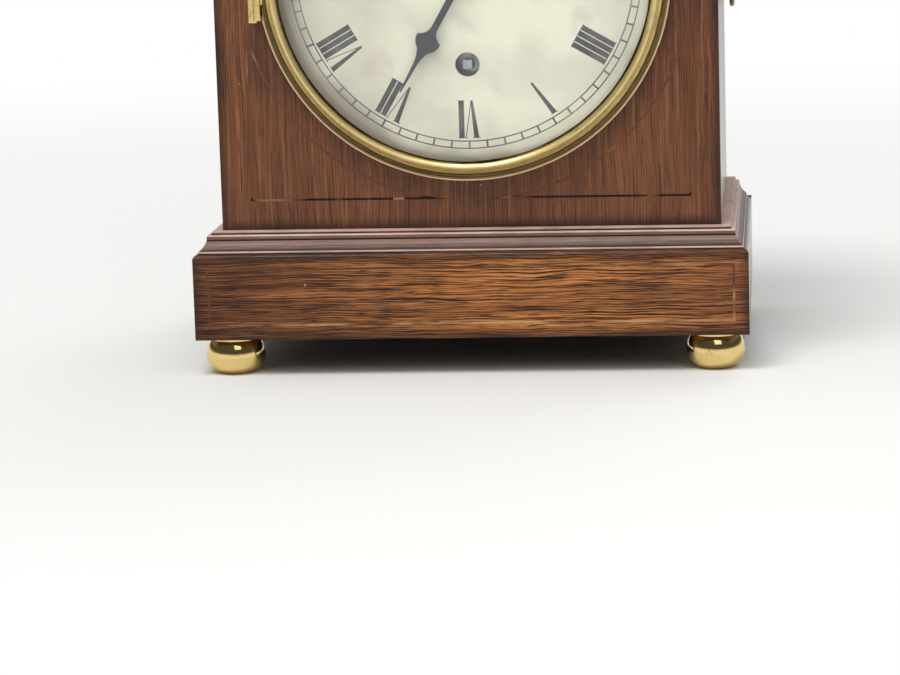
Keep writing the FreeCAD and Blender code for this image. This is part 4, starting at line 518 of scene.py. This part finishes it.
# ---------------------------------------------------------------------------------------------------
# Dial marks. Cuts in the brass filled with black wax, which has faded to grey and dropped out of the
# thinnest ones. The minute track is two thin rings and a line for each minute.
for label, apart, low, high, black, grey in (
        ("faded_engraver_wax", 11, 0.42, 0.68, "#2A292C", "#676368"),
        ("worn_thin_wax", 14, 0.4, 0.66, "#55574F", "#8F9086")):
    material, tree, shader, place = finish(label, Roughness=0.6, IOR=1.5)
    colour = node(tree, "ShaderNodeMix", {0: patches(tree, place, apart, 4, low, high), 6: linear(black),
                                          7: linear(grey)}, data_type="RGBA")
    tree.links.new(colour.outputs[2], shader.inputs["Base Color"])

track, given, result = tree_with("minute_track", Inner="Float", Outer="Float", Line="Float", Tick="Float",
                                 Count="Int", Wax="Material")
between_rings = node(track, "ShaderNodeMath", {0: given.outputs["Inner"], 1: given.outputs["Outer"]},
                     operation="ADD")
middle_radius = node(track, "ShaderNodeMath", {0: between_rings.outputs[0], 1: 0.5}, operation="MULTIPLY")
length = node(track, "ShaderNodeMath", {0: given.outputs["Outer"], 1: given.outputs["Inner"]},
              operation="SUBTRACT")
profile = node(track, "GeometryNodeCurvePrimitiveQuadrilateral", {"Width": given.outputs["Line"],
                                                                 "Height": 0.00006})
parts = []
for ring in ("Inner", "Outer"):
    circle = node(track, "GeometryNodeCurvePrimitiveCircle", {"Resolution": 240,
                                                              "Radius": given.outputs[ring]})
    parts.append(node(track, "GeometryNodeCurveToMesh", {"Curve": circle.outputs[0],
                                                         "Profile Curve": profile.outputs[0]}).outputs[0])
stations = node(track, "GeometryNodeCurvePrimitiveCircle", {"Resolution": given.outputs["Count"],
                                                           "Radius": middle_radius.outputs[0]})
spots = node(track, "GeometryNodeCurveToPoints", {"Curve": stations.outputs[0]}, mode="EVALUATED")
bar_size = node(track, "ShaderNodeCombineXYZ", {0: length.outputs[0], 1: given.outputs["Tick"], 2: 0.00006})
bar = node(track, "GeometryNodeMeshCube", {"Size": bar_size.outputs[0]})
where = node(track, "GeometryNodeInputPosition")
aim = node(track, "FunctionNodeAlignRotationToVector", {"Vector": where.outputs[0]}, axis="X")
bars = node(track, "GeometryNodeInstanceOnPoints", {"Points": spots.outputs[0], "Instance": bar.outputs[0],
                                                    "Rotation": aim.outputs[0]})
joined = node(track, "GeometryNodeJoinGeometry")
for part in parts + [bars.outputs[0]]:
    track.links.new(part, joined.inputs[0])
real = node(track, "GeometryNodeRealizeInstances", {0: joined.outputs[0]})
waxed = node(track, "GeometryNodeSetMaterial", {"Geometry": real.outputs[0],
                                                "Material": given.outputs["Wax"]})
track.links.new(waxed.outputs[0], result.inputs[0])

minute_track = grow("minute_track", track, Inner=0.0603, Outer=0.0629, Line=0.00045, Tick=0.0007, Count=60,
                    Wax=bpy.data.materials["worn_thin_wax"])
stand(minute_track, 0, DIAL_FACE, DIAL_MIDDLE)
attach(minute_track, "case")

# Hour figures: strokes 13.6 mm long on the radius, feet to the middle. Bars are 1.95 mm, hairlines 0.3.
FOOT, HEAD = 45.6, 59.2
BAR, GAP, HAIR = 1.95, 0.35, 0.3


def straight(left, right, low, high):
    """An upright or level stroke."""
    return [(left, low), (right, low), (right, high), (left, high)]


def lean(foot, foot_wide, head, head_wide):
    """A stroke that leans from the foot of the figure to its head."""
    return [(foot, FOOT), (foot + foot_wide, FOOT), (head + head_wide, HEAD), (head, HEAD)]


def upright(at):
    """A thick bar with thin serifs, its left side at a place across the figure."""
    return [straight(at, at + BAR, FOOT, HEAD), straight(at - 0.25, at + BAR + 0.25, HEAD - 0.22, HEAD),
            straight(at - 0.25, at + BAR + 0.25, FOOT, FOOT + 0.22)]


def five(at, wear_and_painted_light=False):
    """A thick stroke that leans to a point at the foot, and a hairline back up, left off a V whose wax has
    dropped out.
    """
    thick = [lean(at + 2.2, 0.8, at, 1.9), straight(at - 0.5, at + 2.3, HEAD - 0.25, HEAD)]
    thin = [lean(at + 2.6, HAIR, at + 5.0 - HAIR, HAIR), straight(at + 4.1, at + 5.6, HEAD - 0.22, HEAD)]
    return thick if wear_and_painted_light else thick + thin


def ten(at):
    """A thick and a thin stroke crossed."""
    return [lean(at + 3.6, 1.9, at, 1.9), lean(at + 0.5, HAIR, at + 5.0 - HAIR, HAIR),
            straight(at - 0.4, at + 2.3, HEAD - 0.22, HEAD), straight(at + 3.2, at + 5.9, FOOT, FOOT + 0.22)]


WIDTHS = {"I": BAR, "V": 5.0, "X": 5.5}
FIGURES = ["I", "II", "III", "IIII", "V", "VI", "VII", "VIII", "IX", "X", "XI", "XII"]
figures = bmesh.new()
for hour, letters in enumerate(FIGURES, 1):
    total = sum(WIDTHS[letter] for letter in letters) + GAP * (len(letters) - 1)
    across = -total / 2
    turn = math.radians(30 * hour)
    for letter in letters:
        if letter == "I":
            strokes = upright(across)
        elif letter == "V":
            strokes = five(across, wear_and_painted_light=hour == 5)
        else:
            strokes = ten(across)
        across += WIDTHS[letter] + GAP
        for lift, stroke in enumerate(strokes):
            rings = []
            for depth in (-0.000035 - lift * 0.000002, 0.00002):
                rings.append([figures.verts.new((
                    (v * math.sin(turn) + u * math.cos(turn)) / 1000, DIAL_FACE + depth,
                    DIAL_MIDDLE + (v * math.cos(turn) - u * math.sin(turn)) / 1000)) for u, v in stroke])
            figures.faces.new(rings[0])
            figures.faces.new(rings[1][::-1])
            for i in range(4):
                j = (i + 1) % 4
                figures.faces.new([rings[0][j], rings[0][i], rings[1][i], rings[1][j]])
bmesh.ops.recalc_face_normals(figures, faces=figures.faces)
figure_mesh = bpy.data.meshes.new("hour_figures")
figures.to_mesh(figure_mesh)
figures.free()
figure_mesh.materials.append(bpy.data.materials["faded_engraver_wax"])
hour_figures = bpy.data.objects.new("hour_figures", figure_mesh)
bpy.context.scene.collection.objects.link(hour_figures)
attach(hour_figures, "case")

# ---------------------------------------------------------------------------------------------------
# Hands. Sawn from steel sheet and blued by heat. The blue has gone nearly black.


def steel(name, bright, dull, rough, mark):
    """Steel with a soft sheen and darker patches so many millimetres across."""
    material, tree, shader, place = finish(name, Metallic=0.9)
    cloud = node(tree, "ShaderNodeTexNoise", {"Vector": place, "Scale": 1000 / mark, "Detail": 4})
    colour = node(tree, "ShaderNodeMix", {0: cloud.outputs[0], 6: linear(bright), 7: linear(dull)},
                  data_type="RGBA")
    gloss = node(tree, "ShaderNodeMath", {0: cloud.outputs[0], 1: 0.16, 2: rough - 0.08},
                 operation="MULTIPLY_ADD")
    tree.links.new(colour.outputs[2], shader.inputs["Base Color"])
    tree.links.new(gloss.outputs[0], shader.inputs["Roughness"])
    return material


blued_steel = steel("heat_blued_steel", "#4B4F58", "#2A2C33", 0.42, 5)
dress(blued_steel, "hour_hand", "minute_hand", "door_button_screw")
dress(plain_brass, "hand_nut")

# ---------------------------------------------------------------------------------------------------
# Movement frame. Two brass plates, grained by hand and lacquered, held apart by turned pillars and
# hexagon nuts. It stands on the seat board behind the dial.
plate_brass, tree, shader, place = finish("grained_plate_brass", Metallic=1)
long = node(tree, "ShaderNodeMapping", {"Vector": place, "Scale": (2500, 2500, 60)})
grain = node(tree, "ShaderNodeTexNoise", {"Vector": long.outputs[0], "Scale": 1, "Detail": 2})
colour = node(tree, "ShaderNodeMix", {0: patches(tree, place, 20, 4, 0.45, 0.75), 6: linear("#E0C27C"),
                                      7: linear("#B08F55")}, data_type="RGBA")
gloss = node(tree, "ShaderNodeMapRange", {"Value": grain.outputs[0], "To Min": 0.24, "To Max": 0.42})
tree.links.new(colour.outputs[2], shader.inputs["Base Color"])
tree.links.new(gloss.outputs[0], shader.inputs["Roughness"])
dress(plate_brass, "front_plate", "back_plate", "movement_pillars", "pillar_nuts", "spring_barrel",
      "platform", "train_cock", "balance_cock")
bright_steel = steel("polished_tool_steel", "#B9BCC0", "#8E9196", 0.28, 3)
dress(bright_steel, "winding_arbor", "ratchet_wheel", "click", "escape_wheel", "pallet_lever")
dress(blued_steel, "mainspring")

# ---------------------------------------------------------------------------------------------------
# Train wheels. Each is a cut brass wheel on a steel arbor with its own leaves.


def wheel_on_arbor(name, x, z, core):
    """Steel within a core radius of the arbor, and brass outside it."""
    material, tree, shader, place = finish(name, Metallic=1)
    shift = node(tree, "ShaderNodeVectorMath", {0: place, 1: (-x, 0, -z)}, operation="ADD")
    across = node(tree, "ShaderNodeVectorMath", {0: shift.outputs[0], 1: (1, 0, 1)}, operation="MULTIPLY")
    far = node(tree, "ShaderNodeVectorMath", {0: across.outputs[0]}, operation="LENGTH").outputs["Value"]
    outside = node(tree, "ShaderNodeMath", {0: far, 1: core}, operation="GREATER_THAN")
    cloud = node(tree, "ShaderNodeTexNoise", {"Vector": place, "Scale": 1000 / 4, "Detail": 3})
    yellow = node(tree, "ShaderNodeMix", {0: cloud.outputs[0], 6: linear("#E6CA84"), 7: linear("#C09C5C")},
                  data_type="RGBA")
    colour = node(tree, "ShaderNodeMix", {0: outside.outputs[0], 6: linear("#A9ACB0"),
                                          7: yellow.outputs[2]}, data_type="RGBA")
    gloss = node(tree, "ShaderNodeMath", {0: cloud.outputs[0], 1: 0.2, 2: 0.18}, operation="MULTIPLY_ADD")
    tree.links.new(colour.outputs[2], shader.inputs["Base Color"])
    tree.links.new(gloss.outputs[0], shader.inputs["Roughness"])
    return material


for label, core in (("intermediate_wheel", 0.0036), ("centre_wheel", 0.0023), ("third_wheel", 0.0019),
                    ("fourth_wheel", 0.0021), ("minute_wheel", 0.0026), ("balance_wheel", 0.0016)):
    low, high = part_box(label)
    middle = (low + high) / 2
    dress(wheel_on_arbor("cut_brass_" + label, middle.x, middle.z, core), label)
dress(plate_brass, "cannon_pinion", "hour_wheel")
screw_heads("movement_screws", "case", blued_steel, 1.1,
            [(x, 4.0, z) for x in (-6.5, 24.5) for z in (170.26, 184.26)]
            + [(0.0, 10.5, 184.26), (24.7, 18.5, 177.26)], (0, 1, 0))

# Balance spring: blued steel wire wound in a flat spiral over the balance, drawn twice as thick as real
# so that it shows.
spring, given, result = tree_with("balance_spring", Inner="Float", Outer="Float", Turns="Float",
                                  Wire="Float", Steel="Material")
coil = node(spring, "GeometryNodeCurveSpiral", {
    "Resolution": 40, "Rotations": given.outputs["Turns"], "Start Radius": given.outputs["Inner"],
    "End Radius": given.outputs["Outer"], "Height": 0.0})
wire = node(spring, "GeometryNodeCurvePrimitiveCircle", {"Resolution": 8, "Radius": given.outputs["Wire"]})
drawn = node(spring, "GeometryNodeCurveToMesh", {"Curve": coil.outputs[0], "Profile Curve": wire.outputs[0],
                                                 "Fill Caps": True})
solid = node(spring, "GeometryNodeRealizeInstances", {0: drawn.outputs[0]})
blue = node(spring, "GeometryNodeSetMaterial", {"Geometry": solid.outputs[0],
                                                "Material": given.outputs["Steel"]})
spring.links.new(blue.outputs[0], result.inputs[0])
balance_spring = grow("balance_spring", spring, Inner=0.0014, Outer=0.0052, Turns=7.0, Wire=0.00012,
                      Steel=blued_steel)
stand(balance_spring, 0.0155, 0.0155, 0.17726)
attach(balance_spring, "balance")

# ---------------------------------------------------------------------------------------------------
# Floor, light and camera. A plain pale table, a soft lamp high in front, a smaller one like a window
# that polished brass catches, and a weak one behind.
floor_mesh = bpy.data.meshes.new("floor")
floor_mesh.from_pydata([(-9, -9, 0), (9, -9, 0), (9, 9, 0), (-9, 9, 0)], [], [(0, 1, 2, 3)])
floor = bpy.data.objects.new("floor", floor_mesh)
bpy.context.scene.collection.objects.link(floor)
paper, tree, shader, place = finish("pale_table_top", Base_Color=linear("#FAFAF8"), Roughness=0.8)
shader.inputs["Specular IOR Level"].default_value = 0.1
away = node(tree, "ShaderNodeVectorMath", {0: place}, operation="LENGTH").outputs["Value"]
beyond = node(tree, "ShaderNodeMapRange", {"Value": away, "From Min": 0.3, "From Max": 1.1},
              interpolation_type="SMOOTHSTEP")
seen = node(tree, "ShaderNodeLightPath").outputs["Is Camera Ray"]
share = node(tree, "ShaderNodeMath", {0: beyond.outputs[0], 1: seen}, operation="MULTIPLY")
white = node(tree, "ShaderNodeEmission", {"Color": (1, 1, 1, 1), "Strength": 1.0})
table = node(tree, "ShaderNodeMixShader", {0: share.outputs[0], 1: shader.outputs[0],
                                           2: white.outputs[0]})
tree.links.new(table.outputs[0], tree.nodes["Material Output"].inputs["Surface"])
floor_mesh.materials.append(paper)

world = bpy.data.worlds.new("studio")
bpy.context.scene.world = world
world.use_nodes = True
sky = world.node_tree
sky.nodes.clear()
upward = node(sky, "ShaderNodeSeparateXYZ", {0: node(sky, "ShaderNodeTexCoord").outputs["Generated"]})
# dim along the horizon and brighter overhead, so that what stands close to the table is dark beneath
high_up = node(sky, "ShaderNodeMapRange", {"Value": upward.outputs[2], "From Min": 0.06, "From Max": 0.7,
                                           "To Min": 0.0, "To Max": 0.6})
lit = node(sky, "ShaderNodeBackground", {"Color": linear("#FFFFFF"), "Strength": high_up.outputs[0]})
# polished things see the white backdrop round the object, and a dimmer room above it
above = node(sky, "ShaderNodeMapRange", {"Value": upward.outputs[2], "From Min": 0.03, "From Max": 0.2,
                                         "To Min": 1.0, "To Max": 0.08})
shiny = node(sky, "ShaderNodeBackground", {"Color": linear("#FFFFFF"), "Strength": above.outputs[0]})
plain = node(sky, "ShaderNodeBackground", {"Color": linear("#FFFFFF"), "Strength": 1.0})
path = node(sky, "ShaderNodeLightPath")
seen_plain = node(sky, "ShaderNodeMath", {0: path.outputs["Is Camera Ray"],
                                          1: path.outputs["Is Transmission Ray"]}, operation="MAXIMUM")
gloss_mix = node(sky, "ShaderNodeMixShader", {0: path.outputs["Is Glossy Ray"], 1: lit.outputs[0],
                                              2: shiny.outputs[0]})
sky_mix = node(sky, "ShaderNodeMixShader", {0: seen_plain.outputs[0], 1: gloss_mix.outputs[0],
                                            2: plain.outputs[0]})
node(sky, "ShaderNodeOutputWorld", {"Surface": sky_mix.outputs[0]})

for label, spot, wide, power in (("front_lamp", (-0.35, -0.85, 2.05), 0.9, 23.5),
                                 ("window_lamp", (0.4, -1.4, 1.35), 0.8, 2.4),
                                 ("back_lamp", (0.6, 1.3, 1.6), 1.2, 7)):
    lamp = bpy.data.lights.new(label, "AREA")
    lamp.shape = "SQUARE"
    lamp.size = wide
    lamp.energy = power
    holder = bpy.data.objects.new(label, lamp)
    bpy.context.scene.collection.objects.link(holder)
    holder.location = spot
    holder.rotation_euler = (Vector(spot) - Vector((0, 0, 0.12))).to_track_quat("Z", "Y").to_euler()

camera = bpy.data.objects.new("camera", bpy.data.cameras.new("camera"))
bpy.context.scene.collection.objects.link(camera)
camera.data.lens = 122.848
camera.data.shift_x = -0.25
camera.data.shift_y = -0.08
camera.matrix_world = (Matrix.Translation((0.1116, -1.15229, 0.21696))
                       @ Matrix.Rotation(math.radians(2.008), 4, "Z")
                       @ Matrix.Rotation(math.radians(90 - 9.326), 4, "X")
                       @ Matrix.Rotation(math.radians(-1.005), 4, "Z"))
bpy.context.scene.camera = camera
bpy.context.scene.view_settings.view_transform = "Standard"
